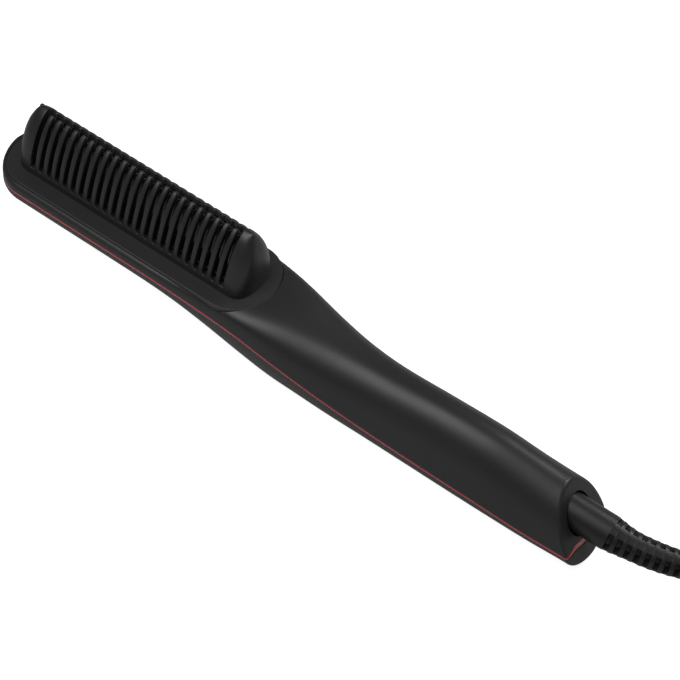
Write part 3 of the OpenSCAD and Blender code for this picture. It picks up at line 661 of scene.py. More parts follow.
# Bezel plate: a flat moulded plate that fills the opening in the deck. Its edge is eased, and it
# has a slot down its middle for the heated comb. It is glued to the ledge below it.
plate_edge = 0.5
plate_gap = 0.02
comb_low_x = -125.2
comb_high_x = -27.8
hatch_half = 6.6
plate_black = moulded("plate_matte", (0.02, 0.0203, 0.021), 0.5, depth=0.05)
plate_levels = [(0, bezel_low + plate_gap)]
for turn in np.radians(np.linspace(0, 90, 6)):
    plate_levels.append((plate_edge * (1 - math.cos(turn)), deck - plate_edge * (1 - math.sin(turn))))
plate_rings = [[(*p, z) for p in bezel_outline(inset)] for inset, z in plate_levels]
comb_slot = prism(box_outline(comb_low_x - 0.4, comb_high_x + 0.4, hatch_half), bezel_low - 1, deck + 1)
plate_mesh = carved(closed_loft("bezel_plate", plate_rings), comb_slot)
plate = link("bezel_plate", finished(plate_mesh, "bezel_plate"), plate_black, "handle")
even_normals(plate)
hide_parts("bezel")

# Guard cage: one moulding of heat-resistant nylon that keeps the scalp off the hot teeth. Two
# rounded ends stand on a low wall, and curved ribs rise from the wall to an open crest.
cage_half = 12.0
cage_height = 27.0
cage_round = 1.63
cage_front = -135.2
cage_back = -17.5
front_lean = 5.7
rear_lean = 5.6
front_corners = (2.8, 2.8)
rear_corners = (3.2, 2.6)
tip_edge = 0.45
slot_count = 24
slot_pitch = 4.2
slot_width = 1.9
first_slot = -124.8
last_slot = first_slot + (slot_count - 1) * slot_pitch
low_wall = 3.2
rib_depth = 3.0
crest_half = 1.1
rib_width = slot_pitch - slot_width
nylon = moulded("cage_nylon", (0.0145, 0.0148, 0.0155), 0.37, depth=0.05)


def cage_side(turn, inset=0.0):
    """A point of the cage's cross-section, and the way out of its face there."""
    y = cage_half * math.cos(turn) ** (2 / cage_round)
    z = cage_height * math.sin(turn) ** (2 / cage_round)
    power = cage_round - 1
    out = Vector(((y / cage_half) ** power / cage_half, (z / cage_height) ** power / cage_height))
    out.normalize()
    return y - inset * out[0], z - inset * out[1], out


def cage_end(inner_x, tip_at, side, corners):
    """One rounded end, as a stack of level outlines that lean and narrow towards the crest."""
    rings = []
    turns = np.radians(np.concatenate([np.linspace(0, 60, 16), np.linspace(64, 88, 12), [89.3]]))
    for turn in turns:
        half, z, _ = cage_side(turn)
        depth = abs(tip_at(z) - inner_x)
        arc = np.radians(np.linspace(0, 180, 181))
        x = depth * np.sin(arc).clip(0, 1) ** (2 / corners[0])
        y = half * np.sign(np.cos(arc)) * np.abs(np.cos(arc)) ** (2 / corners[1])
        edge = min(tip_edge, 0.5 * half)
        outline = np.column_stack([x, y])
        kept = outline[outline[:, 0] > edge * 1.05]
        ease = np.radians(np.linspace(0, 90, 5))
        start = [(edge * (1 - math.cos(t)), half - edge + edge * math.sin(t)) for t in ease]
        line = start + [tuple(p) for p in kept] + [(px, -py) for px, py in start[::-1]]
        line = spread(line, 61)
        rings.append([(inner_x + side * px, py, deck + z) for px, py in line])
    return closed_loft("cage_end", rings)


def rear_tip(z):
    return cage_back - rear_lean * (z / cage_height) ** 3.2


def front_tip(z):
    return cage_front + front_lean * (z / cage_height) ** 4


rear_face = last_slot + slot_width / 2
front_face = first_slot - slot_width / 2
ends = joined([
    cage_end(rear_face, rear_tip, 1, rear_corners),
    cage_end(front_face, front_tip, -1, front_corners),
])

wall_inset = 0.03
wall_ease = 0.45
wall_line = []
for height in np.linspace(0, low_wall - wall_ease, 5):
    turn = math.asin((height / cage_height) ** (cage_round / 2))
    wall_line.append(cage_side(turn, wall_inset)[:2])
top_y = wall_line[-1][0] - wall_ease
for turn in np.radians(np.linspace(15, 90, 6)):
    wall_line.append((top_y + wall_ease * math.cos(turn), low_wall - wall_ease * (1 - math.sin(turn))))
inner_y = wall_line[0][0] - rib_depth + wall_inset
wall_line += [(inner_y + 0.2, low_wall), (inner_y, low_wall - 0.3), (inner_y, 0)]
walls = joined([
    closed_loft("low_wall", [[(x, side * y, deck + z) for y, z in wall_line]
                             for x in (front_face - 0.8, rear_face + 0.8)])
    for side in (1, -1)
])

rib_inset = 0.07
rib_thick = rib_depth - 0.15
rib_outer_edge = 0.75
rib_inner_edge = 0.4
rib_round = 1.0
rib_foot = low_wall - 1
rib_flare = slot_width / 2 - 0.1


def rib_section(half, thick):
    """A rounded bar: across is along the comb, and depth 0 is the outer face."""
    outline = []
    for cx, cd, radius, start in (
        (half, 0, rib_outer_edge, 0), (half, thick, rib_inner_edge, 90),
        (-half, thick, rib_inner_edge, 180), (-half, 0, rib_outer_edge, 270),
    ):
        radius = min(radius, 0.95 * half, 0.45 * thick)
        x = cx - math.copysign(radius, cx)
        d = cd + (radius if cd == 0 else -radius)
        for t in np.radians(np.linspace(start, start + 90, 6)):
            outline.append((x + radius * math.sin(t), d - radius * math.cos(t)))
    return outline


def rib(middle, side):
    """A bar up one side of the cage: it flares at its foot and ends in a round tip at the crest."""
    first = math.asin((rib_foot / cage_height) ** (cage_round / 2))
    last = math.acos((crest_half / cage_half) ** (cage_round / 2))
    line = [cage_side(t, rib_inset) for t in np.linspace(first, last, 200)]
    places = np.array([(y, z) for y, z, _ in line])
    walked = walked_along(places)
    tip_start = walked[-1] - rib_round
    stops = list(np.linspace(0, tip_start, 30))
    stops += [tip_start + rib_round * math.sin(t) for t in np.radians([25, 45, 62, 76, 86])]
    rings = []
    for stop in stops:
        k = int(np.searchsorted(walked, stop))
        y, z, out = line[min(k, len(line) - 1)]
        end = min(max((stop - tip_start) / rib_round, 0), 1)
        shrink = math.sqrt(max(1 - end * end, 0.02))
        rise = max(z - low_wall, 0)
        flare = rib_flare * (1 - math.sqrt(1 - max(1 - rise / rib_flare, 0) ** 2))
        half = (rib_width / 2 + flare) * shrink
        thick = rib_thick * (1 - 0.5 * (1 - shrink))
        sink = (rib_thick - thick) / 2
        rings.append([
            (middle + across, side * (y - out[0] * (depth + sink)), deck + z - out[1] * (depth + sink))
            for across, depth in rib_section(half, thick)
        ])
    return closed_loft("rib", rings)


rib_middles = [first_slot + (i + 0.5) * slot_pitch for i in range(slot_count - 1)]
ribs = joined([rib(x, side) for x in rib_middles for side in (1, -1)])
nub_radius = 1.0
nub_x = -128.9
nub_rise = 0.9
nub_root = 3.0
nub_profile = [(0, nub_radius)] + [
    (nub_root + nub_rise - nub_radius * (1 - math.sin(t)), nub_radius * math.cos(t))
    for t in np.radians(np.linspace(0, 85, 8))
]
nub = turned(nub_profile, (nub_x, 0, deck + cage_height - nub_root), (0, 0, 1), 32)
cage_mesh = carved(carved(carved(ends, walls, "UNION"), ribs, "UNION"), nub, "UNION")
cage = link("guard_cage", finished(cage_mesh, "guard_cage", 38), nylon, "handle")
even_normals(cage)
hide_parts("cage")

# Heated comb: an aluminium casting with a glossy black ceramic coat. One upright tooth stands
# behind each rib, on a hollow bar that holds the heater stack.
bar_half = 6.0
bar_low = 26.4
bar_high = deck + 1.2
heater_half = 4.6
heater_top = bar_low + 4.6
tooth_thick = 2.2
tooth_height = 21.5
tooth_tip = 1.5
tooth_edge = 0.55
ceramic_gloss = moulded(
    "ceramic_coat", (0.0035, 0.0035, 0.0038), 0.2, grain=0.0012, depth=0.03, mottle=0.05, coat=0.4)
bar_line = [
    (-bar_half, bar_low), (-heater_half, bar_low), (-heater_half, heater_top), (heater_half, heater_top),
    (heater_half, bar_low), (bar_half, bar_low), (bar_half, bar_high - 0.6), (bar_half - 0.6, bar_high),
    (0.6 - bar_half, bar_high), (-bar_half, bar_high - 0.6),
]
bar = closed_loft("bar", [[(x, y, z) for y, z in bar_line] for x in (comb_low_x, comb_high_x)])


def tooth(middle):
    """A blade that narrows in a soft curve to a round tip."""
    shape_z = [0, 9, 17, 20]
    shape_y = [5.35, 4.8, 2.45, 1.5]
    rings = []
    heights = list(np.linspace(0.4, tooth_height - tooth_tip, 16))
    heights += [tooth_height - tooth_tip * (1 - math.sin(t)) for t in np.radians([20, 40, 58, 72, 84])]
    for z in heights:
        half = float(np.interp(z, shape_z, shape_y))
        if 7 < z < 19:
            half = float(np.mean([np.interp(z + d, shape_z, shape_y) for d in (-2, -1, 0, 1, 2)]))
        cap = min(max((z - (tooth_height - tooth_tip)) / tooth_tip, 0), 0.995)
        shrink = math.sqrt(1 - cap * cap)
        half *= shrink
        thick = tooth_thick / 2 * (1 - 0.12 * z / tooth_height) * math.sqrt(shrink)
        edge = min(tooth_edge, 0.9 * thick, 0.9 * half)
        rings.append([(middle + x, y, deck + z) for x, y in box_outline(-thick, thick, half, edge, 5)])
    return closed_loft("tooth", rings)


teeth = joined([tooth(x) for x in rib_middles])
comb_mesh = carved(bar, teeth, "UNION")
comb = link("heated_teeth", finished(comb_mesh, "heated_teeth", 40), ceramic_gloss, "handle")
even_normals(comb)
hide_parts("heated_comb")

# Strain relief: one piece of flexible rubber. A smooth collar turns with the swivel, and past it
# rings stand round a core. A wide web runs along its top and back, and a thin rail along each side.
collar_start = 118.3
collar_radius = 7.0
collar_edge = 0.5
stub_radius = 3.9
stub_start = collar_start - 7.9
ring_thick = 1.8
relief_core = 3.0
thick_core = 5.3
ring_edge = 0.3
smooth_way = 12.0
# Each web is the angle of its middle round the core and its half width, in degrees.
relief_webs = ((107, 20), (287, 20), (17, 7), (197, 7))
web_inset = 0.05
relief_rubber = moulded("relief_rubber", (0.007, 0.007, 0.0073), 0.42, depth=0.07)


def relief_radius(way):
    """The rings' outer radius: it drops quickly behind the collar, and then tapers slowly."""
    if way < smooth_way:
        return collar_radius - 1.25 * math.sin(math.radians(90 * way / smooth_way))
    return collar_radius - 1.25 - 1.4 * ((way - smooth_way) / 35) ** 1.3


def core_radius(way):
    return relief_core + (thick_core - relief_core) * max(1 - way / 16, 0) ** 2


def on_relief(way, y, z):
    """A point that stands y to the side of and z above the bent axis, that way along it."""
    turn = way / relief_bend
    place = relief_point(way)
    return (place[0] - y * math.sin(turn), place[1] + y * math.cos(turn), place[2] + z)


def relief_disc(stations, sides=64):
    angles = np.linspace(0, 2 * math.pi, sides, endpoint=False)
    return closed_loft("disc", [[on_relief(way, radius * math.cos(a), radius * math.sin(a)) for a in angles]
                                for way, radius in stations])


def relief_ring(end):
    start = end - ring_thick
    ease = np.radians(np.linspace(0, 90, 5))
    near, far = relief_radius(start), relief_radius(end)
    corner = [(ring_edge * (1 - math.cos(t)), ring_edge * (1 - math.sin(t))) for t in ease]
    stations = [(start + way, near - drop) for way, drop in corner]
    stations += [(end - way, far - drop) for way, drop in corner[::-1]]
    return relief_disc(stations)


def relief_web(gap, middle, sweep):
    """A web that joins two rings across the gap between them."""
    start = gap * relief_pitch
    rings = []
    for way in (start - 0.35, start + relief_pitch - ring_thick + 0.35):
        outer = relief_radius(min(max(way, 0.1), start + relief_pitch)) - web_inset
        turns = np.radians(np.linspace(middle - sweep, middle + sweep, 9))
        outline = [on_relief(way, outer * math.cos(a), outer * math.sin(a)) for a in turns]
        outline += [on_relief(way, 2.5 * math.cos(a), 2.5 * math.sin(a)) for a in turns[::-1]]
        rings.append(outline)
    return closed_loft("web", rings)


stub_length = collar_start - stub_start
collar_length = relief_start - stub_start
collar = turned([
    (0, stub_radius), (stub_length, stub_radius), (stub_length, collar_radius - 0.3),
    (stub_length + 0.3, collar_radius), (collar_length - collar_edge, collar_radius),
    (collar_length - collar_edge * 0.3, collar_radius - collar_edge * 0.3),
    (collar_length, collar_radius - collar_edge),
], (stub_start, 0, swivel_height), (1, 0, 0), 96)
core = relief_disc([(way, core_radius(way)) for way in np.linspace(-1, relief_length - 0.3, 34)], 48)
rings = joined([relief_ring(i * relief_pitch) for i in range(1, relief_rings + 1)])
webs = joined([relief_web(i, *web) for i in range(relief_rings) for web in relief_webs])
relief_mesh = carved(carved(carved(collar, core, "UNION"), rings, "UNION"), webs, "UNION")
relief_mesh = finished(relief_mesh, "relief", 40)
relief = link("strain_relief_rings", relief_mesh, relief_rubber, "cord_swivel")
even_normals(relief)
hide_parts("strain_relief")

# Control panel: a flat plate moulded in matte plastic, set flush in the flat back of the grip. A
# flange behind it rests on the inside of the lower shell. It has a window opening and three holes.
panel_face = 0.6
panel_back = 3.4
panel_flange = 2.4
panel_edge = 0.3
panel_gap = 0.2
panel_lip = 1.2
button_radius = 4.5
button_gap = 0.3
button_places = (68.0, 79.0, 90.0)
window_x = (37.0, 60.0)
window_half = 5.0
panel_matte = moulded("panel_matte", (0.017, 0.0175, 0.0185), 0.55, grain=0.0003, depth=0.12)


def eased_plate(outline, low, high, edge):
    """Rings of a plate with a soft lower edge; outline(inset) gives each ring's line."""
    rings = [[(*p, low + edge * (1 - math.sin(t))) for p in outline(edge * (1 - math.cos(t)))]
             for t in np.radians(np.linspace(90, 0, 5))]
    return rings + [[(*p, high) for p in outline(0)]]


def panel_outline(inset):
    inset = inset + panel_gap
    return box_outline(panel_x0 + inset, panel_x1 - inset, panel_width / 2 - inset, 1.0)


panel_rings = eased_plate(panel_outline, panel_face, panel_flange, panel_edge)
for height in (panel_flange, panel_back):
    flange = box_outline(panel_x0 - panel_lip, panel_x1 + panel_lip, 8.6, 1.6)
    panel_rings.append([(*p, height) for p in flange])
window_hole = closed_loft("window_hole", [
    [(*p, z) for p in box_outline(window_x[0] - wide, window_x[1] + wide, window_half + wide, 0.7)]
    for wide, z in ((0.35, 0), (0, panel_face + 0.25), (0, panel_back + 1))
])
hole = button_radius + button_gap
button_holes = [turned([(0, hole + 0.45), (panel_face + 0.25, hole), (6, hole)], (x, 0, 0), (0, 0, 1), 64)
                for x in button_places]
panel_mesh = carved(closed_loft("panel", panel_rings), joined([window_hole] + button_holes))
panel = link("control_panel", finished(panel_mesh, "control_panel"), panel_matte, "handle")
even_normals(panel)
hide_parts("panel")

# Window: a smoked acrylic lens with polished edges, pressed into its opening over the display.
# It is blank while the comb is off.
window_gap = 0.1
smoked = moulded(
    "smoked_acrylic", (0.004, 0.0042, 0.0048), 0.09, grain=0.004, depth=0.01, mottle=0.04, coat=1.0)


def window_outline(inset):
    inset = inset + window_gap
    return box_outline(window_x[0] + inset, window_x[1] - inset, window_half - inset, 0.6)


window_mesh = closed_loft("window", eased_plate(window_outline, panel_face, panel_face + 1.6, 0.28))
window = link("display_window", finished(window_mesh, "display_window"), smoked, "handle")
even_normals(window)
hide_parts("lens")

# Buttons: three round caps moulded in satin plastic, with a shallow dish for the fingertip and a
# raised, white-printed mark. A flange behind the panel keeps each one in; it sinks when pressed.
dish_face = 0.48
mark_face = 0.2
mark_width = 0.42
mark_length = 3.4
ink_depth = 0.23
# A cap's profile, from its dished face into the handle: height and radius.
cap_profile = [
    (dish_face + 0.04, 0.4), (dish_face, 1.6), (0.42, 2.7), (0.34, 3.4), (0.3, 3.8), (0.33, 4.1),
    (0.45, 4.33), (0.68, 4.46), (0.95, button_radius), (panel_back + 0.1, button_radius),
    (panel_back + 0.1, button_radius + 0.55), (panel_back + 0.2, button_radius + 0.7),
    (panel_back + 0.9, button_radius + 0.7),
]


def bar_mark(x, length, width):
    return prism(box_outline(x - length / 2, x + length / 2, width / 2), mark_face, dish_face + 0.4)


def ring_mark(x, radius, opening):
    """A ring open towards the comb's head, and a short bar that stands in the opening."""
    sweep = np.radians(np.linspace(opening - 180, 180 - opening, 40))
    outline = []
    for edge, turns in ((radius + mark_width / 2, sweep), (radius - mark_width / 2, sweep[::-1])):
        outline += [(x + edge * math.cos(a), edge * math.sin(a)) for a in turns]
    stem = box_outline(x - 2.1, x - 0.4, mark_width / 2)
    return joined([prism(line, mark_face, dish_face + 0.4) for line in (outline, stem)])


button_satin = moulded("button_satin", (0.042, 0.043, 0.046), 0.38, depth=0.06)
button_tree = button_satin.node_tree
button_shader = button_tree.nodes["Principled BSDF"]
button_place = button_tree.nodes.new("ShaderNodeTexCoord")
button_height = button_tree.nodes.new("ShaderNodeSeparateXYZ")
button_tree.links.new(button_place.outputs["Object"], button_height.inputs["Vector"])
printed = button_tree.nodes.new("ShaderNodeMath")
printed.operation = "LESS_THAN"
printed.inputs[1].default_value = ink_depth * mm
button_tree.links.new(button_height.outputs["Z"], printed.inputs[0])
ink = button_tree.nodes.new("ShaderNodeMix")
ink.data_type = "RGBA"
ink.inputs["B"].default_value = (0.72, 0.72, 0.7, 1)
button_tree.links.new(printed.outputs["Value"], ink.inputs["Factor"])
button_tree.links.new(button_shader.inputs["Base Color"].links[0].from_socket, ink.inputs["A"])
button_tree.links.new(ink.outputs["Result"], button_shader.inputs["Base Color"])
marks = {
    "power": ring_mark(button_places[0], 1.6, 38),
    "plus": carved(bar_mark(button_places[1], mark_length, mark_width),
                   bar_mark(button_places[1], mark_width, mark_length), "UNION"),
    "minus": bar_mark(button_places[2], mark_length, mark_width),
}
for (key, mark), x in zip(marks.items(), button_places):
    button_mesh = carved(turned(cap_profile, (x, 0, 0), (0, 0, 1), 64), mark, "UNION")
    button_mesh = finished(button_mesh, f"{key}_cap", 40)
    button = link(f"{key}_cap", button_mesh, button_satin, f"{key}_button")
    even_normals(button)
    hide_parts(f"button_{key}")

# Screws: three pan-head screws of zinc-plated steel with a cross recess, driven in from the back
# of the comb. The grip one is sunk in the flat back, and the other two in wells in the head.
head_thick = 1.6
thread_pitch = 0.9
thread_depth = 0.22
recess_width = 0.75
recess_length = 3.2
recess_depth = 1.1


def plated(name, colour, roughness, stretch=(1, 1, 1), depth=0.08):
    """Bare or plated metal: brushed streaks in its gloss, and a fine matching grain."""
    material, tree, shader = nodes_of(name)
    shader.inputs["Metallic"].default_value = 1
    place = tree.nodes.new("ShaderNodeTexCoord")
    pull = tree.nodes.new("ShaderNodeMapping")
    pull.inputs["Scale"].default_value = stretch
    tree.links.new(place.outputs["Object"], pull.inputs["Vector"])
    streaks = noise(tree, pull.outputs["Vector"], 900, 3)
    tint(tree, shader, streaks, [c * 0.86 for c in colour], colour)
    gloss(tree, shader, streaks, roughness - 0.07, roughness + 0.1)
    embossed(tree, shader, streaks, depth, 0.2 * mm)
    return material


zinc = plated("zinc_plate", (0.55, 0.56, 0.57), 0.34)
screws = {"screw_grip": (grip_screw_x, 3.0, 19.0)}
for key, x in zip(("screw_head_front", "screw_head_rear"), head_screw_x):
    screws[key] = (x, body_at(x - post_radius, BOTTOM) + 0.8, bar_low - 0.8)
for key, (x, low, high) in screws.items():
    profile = [(0, 1.9), (0.12, 2.35), (0.4, 2.68), (0.75, screw_head), (head_thick - 0.1, screw_head),
               (head_thick, screw_head - 0.1), (head_thick, screw_shank)]
    along = head_thick + 0.5
    while along < high - low - thread_pitch:
        profile += [(along, screw_shank - thread_depth), (along + thread_pitch / 2, screw_shank)]
        along += thread_pitch
    profile += [(high - low - 0.4, screw_shank - thread_depth), (high - low, 0.6)]
    recess = [prism(box_outline(x - a, x + a, b), low - 1, low + recess_depth)
              for a, b in ((recess_length / 2, recess_width / 2), (recess_width / 2, recess_length / 2))]
    screw_mesh = carved(turned(profile, (x, 0, low), (0, 0, 1)), carved(recess[0], recess[1], "UNION"))
    screw = link(f"{key}_cross", finished(screw_mesh, f"{key}_cross"), zinc, "handle")
    even_normals(screw)
    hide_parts(key)

# Cord tie: a strip of woven hook tape, wrapped once round the hank's waist and pressed shut on
# its own end at the near side.
tie_thick = 0.5
tie_width = 6.0
tie_corner = 2.5
tie_sides = (hank_middle[1] - 18.5, hank_middle[1] + 20.4)
tie_top = hank_end[2] + cord_width / 2 + 0.3


def tie_section(width, thick):
    edge = 0.12
    return [(width / 2 - edge, 0), (width / 2, edge), (width / 2, thick - edge), (width / 2 - edge, thick),
            (edge - width / 2, thick), (-width / 2, thick - edge), (-width / 2, edge), (edge - width / 2, 0)]


def tie_ring(y, z, out_y, out_z, thick, width):
    """The tape's section at a place on the hank, with its thickness towards out."""
    return [(hank_middle[0] + across, y + out_y * depth, z + out_z * depth)
            for across, depth in tie_section(width, thick)]


near_y = tie_sides[0] + tie_corner
far_y = tie_sides[1] - tie_corner
low_z = tie_thick + tie_corner
high_z = tie_top - tie_corner
tie_rings = []
for corner_y, corner_z, first in (
    (near_y, low_z, 180), (far_y, low_z, 270), (far_y, high_z, 0), (near_y, high_z, 90),
):
    for turn in np.radians(np.linspace(first, first + 90, 9)):
        out = (math.cos(turn), math.sin(turn))
        tie_rings.append(tie_ring(corner_y + tie_corner * out[0], corner_z + tie_corner * out[1],
                                  *out, tie_thick, tie_width))
# The lap's stations: height, thickness, and how much narrower than the tape it is.
lap_stations = (
    (5, 0.3, 1.6), (5.4, 0.4, 0.7), (6.2, 0.45, 0.3), (7, 0.46, 0.3), (18.4, 0.46, 0.3), (19.2, 0.3, 0.4),
)
lap = [tie_ring(tie_sides[0] - tie_thick + 0.02, z, -1, 0, thick, tie_width - narrow)
       for z, thick, narrow in lap_stations]
tie_mesh = joined([closed_band("tie", tie_rings), closed_loft("lap", lap)])
tape = moulded("woven_tape", (0.011, 0.011, 0.0115), 0.88, grain=0.0006, depth=0.5, mottle=0.25)
tie = link("cord_tape", finished(tie_mesh, "cord_tape"), tape, "cord_swivel")
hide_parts("cord_tie")

# Plug: a flat two-pin plug moulded on the cord's end in black plastic. Ribs on its neck let the
# cord flex, and grooves on its sides give a grip.
plug_neck = 14.0
plug_end = 50.0
# Stations along the plug: way from the cord's end, half width and half height.
plug_stations = [
    (13.4, 6.2, 4.6), (14.2, 7.2, 5.1), (17, 10.0, 6.0), (20, 12.6, 6.7), (23, 14.5, 6.8),
    (28, 15.3, 6.8), (34, 15.9, 6.8), (40, 16.6, 6.8), (45.5, 17.2, 6.8), (48, 17.45, 6.5),
    (49.2, 17.3, 6.1), (49.8, 16.9, 5.7), (plug_end, 16.3, 5.2),
]
plug_black = moulded("plug_black", (0.014, 0.014, 0.0145), 0.48, grain=0.0004, depth=0.1)
neck_profile = [(-0.5, 3.3), (0, 3.6)]
for i in range(4):
    start = 2 + 3.2 * i
    low_radius = 3.6 + 2 * start / plug_neck
    ridge = 4.6 + 0.45 * i
    neck_profile += [(start, low_radius), (start + 0.1, ridge - 0.3), (start + 0.35, ridge),
                     (start + 1.05, ridge), (start + 1.3, ridge - 0.3), (start + 1.4, low_radius + 0.2)]
neck_profile.append((plug_neck + 1, 5.0))
neck = turned(neck_profile, plug_place, (1, 0, 0), 64)


def plug_ring(way, half, rise):
    """A rounded oblong across the plug."""
    turns = np.linspace(0, 2 * math.pi, 72, endpoint=False)
    return [(plug_place[0] + way,
             plug_place[1] + half * math.copysign(abs(math.cos(a)) ** 0.42, math.cos(a)),
             plug_place[2] + rise * math.copysign(abs(math.sin(a)) ** 0.5, math.sin(a))) for a in turns]


plug_block = closed_loft("plug", [plug_ring(*station) for station in plug_stations])
grooves = joined([
    closed_loft("groove", [[(plug_place[0] + x + dx, plug_place[1] + side * (y + dy), plug_place[2] + z)
                            for dx, dy in ((-0.5, 0.75), (0, -0.1), (0.5, 0.75), (0.5, 3), (-0.5, 3))]
                           for z in (-8, 8)])
    for side in (1, -1) for x, y in ((27, 14.6), (29.6, 14.9), (32.2, 15.2), (34.8, 15.5))
])
plug_mesh = carved(carved(plug_block, grooves), neck, "UNION")
plug = link("plug_moulding", finished(plug_mesh, "plug_moulding"), plug_black, "cord_swivel")
even_normals(plug)
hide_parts("plug_body")

# Plug pins: two round pins of nickel-plated brass with rounded tips, moulded into the plug.
pin_radius = 2.0
pin_length = 19.0
pin_spread = 19.0
nickel = plated("nickel_plate", (0.66, 0.65, 0.62), 0.22, stretch=(0.2, 1, 1), depth=0.04)
pin_profile = [(-1, pin_radius - 0.05), (0, pin_radius)] + [
    (pin_length - 1.3 * (1 - math.sin(t)), pin_radius * (0.35 + 0.65 * math.cos(t)))
    for t in np.radians(np.linspace(0, 88, 9))
]
for key, side in (("near", -1), ("far", 1)):
    start = (plug_place[0] + plug_end, plug_place[1] + side * pin_spread / 2, plug_place[2])
    pin_mesh = finished(turned(pin_profile, start, (1, 0, 0), 40), f"pin_{key}")
    pin = link(f"pin_{key}", pin_mesh, nickel, "cord_swivel")
    even_normals(pin)
    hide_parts(f"plug_pin_{key}")

# Inner parts: the heater stack under the comb, the board with its parts, and the cord's swivel.
# They are seen only with a shell off, and each gets the finish of its real material.


def dress(material, *names):
    """Gives inner parts that keep their own shape the finish of their material."""
    for name in names:
        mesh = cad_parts[name].data
        mesh.materials.clear()
        mesh.materials.append(material)


dress(moulded("fired_ceramic", (0.66, 0.63, 0.57), 0.62, grain=0.0005, depth=0.15, mottle=0.06),
      "heater_near", "heater_far", "thermistor")
dress(plated("pressed_steel", (0.5, 0.5, 0.5), 0.42, stretch=(0.1, 1, 1)),
      "clamp_bar", "thermal_fuse", "switch_power", "switch_plus", "switch_minus")
dress(moulded("heatproof_resin", (0.19, 0.11, 0.06), 0.6, grain=0.0006, depth=0.2, mottle=0.2),
      "heat_carrier")
dress(moulded("silicone_lead", (0.3, 0.03, 0.02), 0.5, depth=0.08), "heater_leads")
dress(moulded("relay_black", (0.012, 0.012, 0.013), 0.4, depth=0.05), "power_block")
dress(moulded("blue_sleeve", (0.015, 0.06, 0.24), 0.3, depth=0.03, coat=0.4), "capacitor")
dress(moulded("display_diffuser", (0.7, 0.7, 0.66), 0.4, depth=0.03, mottle=0.03), "display")
dress(moulded("ivory_nylon", (0.6, 0.58, 0.5), 0.45, depth=0.06, mottle=0.05), "swivel_bush", "swivel_barrel")
dress(plated("spring_brass", (0.72, 0.52, 0.2), 0.28), "slip_ring_live", "slip_ring_neutral",
      "brush_live", "brush_neutral")
solder_mask = moulded("solder_mask", (0.012, 0.11, 0.045), 0.3, depth=0.03, coat=0.3)
board_tree = solder_mask.node_tree
board_shader = board_tree.nodes["Principled BSDF"]
board_place = board_tree.nodes.new("ShaderNodeTexCoord")
traces = board_tree.nodes.new("ShaderNodeTexBrick")
traces.inputs["Scale"].default_value = 160
traces.inputs["Mortar Size"].default_value = 0.06
traces.inputs["Color1"].default_value = (0.012, 0.11, 0.045, 1)
traces.inputs["Color2"].default_value = (0.016, 0.13, 0.05, 1)
traces.inputs["Mortar"].default_value = (0.05, 0.24, 0.09, 1)
board_tree.links.new(board_place.outputs["Object"], traces.inputs["Vector"])
board_tree.links.new(traces.outputs["Color"], board_shader.inputs["Base Color"])
dress(solder_mask, "circuit_board")

# Floor and light: a plain pale table under a white sky and an even, weak ceiling light. A soft
# box over the head lights the near side, and one behind the grip draws the light along its top.
# To the camera the table is lifted to white and the sky is at full strength. The comb itself gets
# the plain table and a weak sky.
floor_lift = 0.86
sky_level = 0.17
floor_mesh = bpy.data.meshes.new("floor")
floor_mesh.from_pydata([(-3, -3, 0), (3, -3, 0), (3, 3, 0), (-3, 3, 0)], [], [(0, 1, 2, 3)])
floor = bpy.data.objects.new("floor", floor_mesh)
bpy.context.scene.collection.objects.link(floor)
floor_material, floor_tree, floor_shader = nodes_of("pale_table")
floor_shader.inputs["Base Color"].default_value = (0.6, 0.6, 0.6, 1)
floor_shader.inputs["Roughness"].default_value = 0.9
floor_shader.inputs["Specular IOR Level"].default_value = 0
floor_light = floor_tree.nodes.new("ShaderNodeEmission")
floor_light.inputs["Color"].default_value = (1, 1, 1, 1)
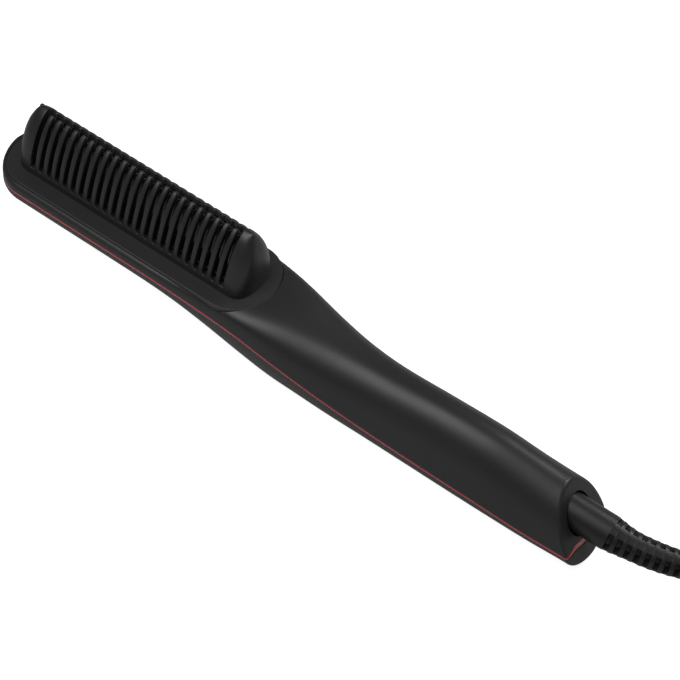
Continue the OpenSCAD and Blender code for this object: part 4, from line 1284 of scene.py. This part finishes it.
seen = floor_tree.nodes.new("ShaderNodeLightPath")
lift = floor_tree.nodes.new("ShaderNodeMath")
lift.operation = "MULTIPLY"
lift.inputs[1].default_value = floor_lift
floor_tree.links.new(seen.outputs["Is Camera Ray"], lift.inputs[0])
floor_tree.links.new(lift.outputs["Value"], floor_light.inputs["Strength"])
both = floor_tree.nodes.new("ShaderNodeAddShader")
floor_tree.links.new(floor_shader.outputs["BSDF"], both.inputs[0])
floor_tree.links.new(floor_light.outputs["Emission"], both.inputs[1])
floor_tree.links.new(both.outputs["Shader"], floor_tree.nodes["Material Output"].inputs["Surface"])
floor.data.materials.append(floor_material)

world = bpy.data.worlds.new("studio")
bpy.context.scene.world = world
world.use_nodes = True
sky = world.node_tree.nodes["Background"]
sky.inputs["Color"].default_value = (1, 1, 1, 1)
world_path = world.node_tree.nodes.new("ShaderNodeLightPath")
sky_strength = world.node_tree.nodes.new("ShaderNodeMapRange")
sky_strength.inputs["To Min"].default_value = sky_level
sky_strength.inputs["To Max"].default_value = 1.0
world.node_tree.links.new(world_path.outputs["Is Camera Ray"], sky_strength.inputs["Value"])
world.node_tree.links.new(sky_strength.outputs["Result"], sky.inputs["Strength"])


def aimed(name, data, place, target):
    piece = bpy.data.objects.new(name, data)
    piece.location = place
    piece.rotation_euler = (Vector(target) - Vector(place)).to_track_quat("-Z", "Y").to_euler()
    bpy.context.scene.collection.objects.link(piece)


def soft_box(name, place, target, size, power):
    box = bpy.data.lights.new(name, "AREA")
    box.shape = "RECTANGLE"
    box.size, box.size_y = size
    box.energy = power
    aimed(name, box, place, target)


ceiling = bpy.data.lights.new("ceiling", "SUN")
ceiling.energy = 0.35
ceiling.angle = math.radians(60)
aimed("ceiling", ceiling, (-0.14, -0.42, 0.9), (0, 0, 0))
soft_box("front", (-0.10, -0.20, 0.46), (-0.02, 0, 0.03), (0.20, 0.36), 1.0)
soft_box("rear", (0.26, 0.38, 0.42), (0.10, 0, 0.02), (0.36, 0.14), 1.25)
bpy.context.scene.view_settings.view_transform = "Standard"
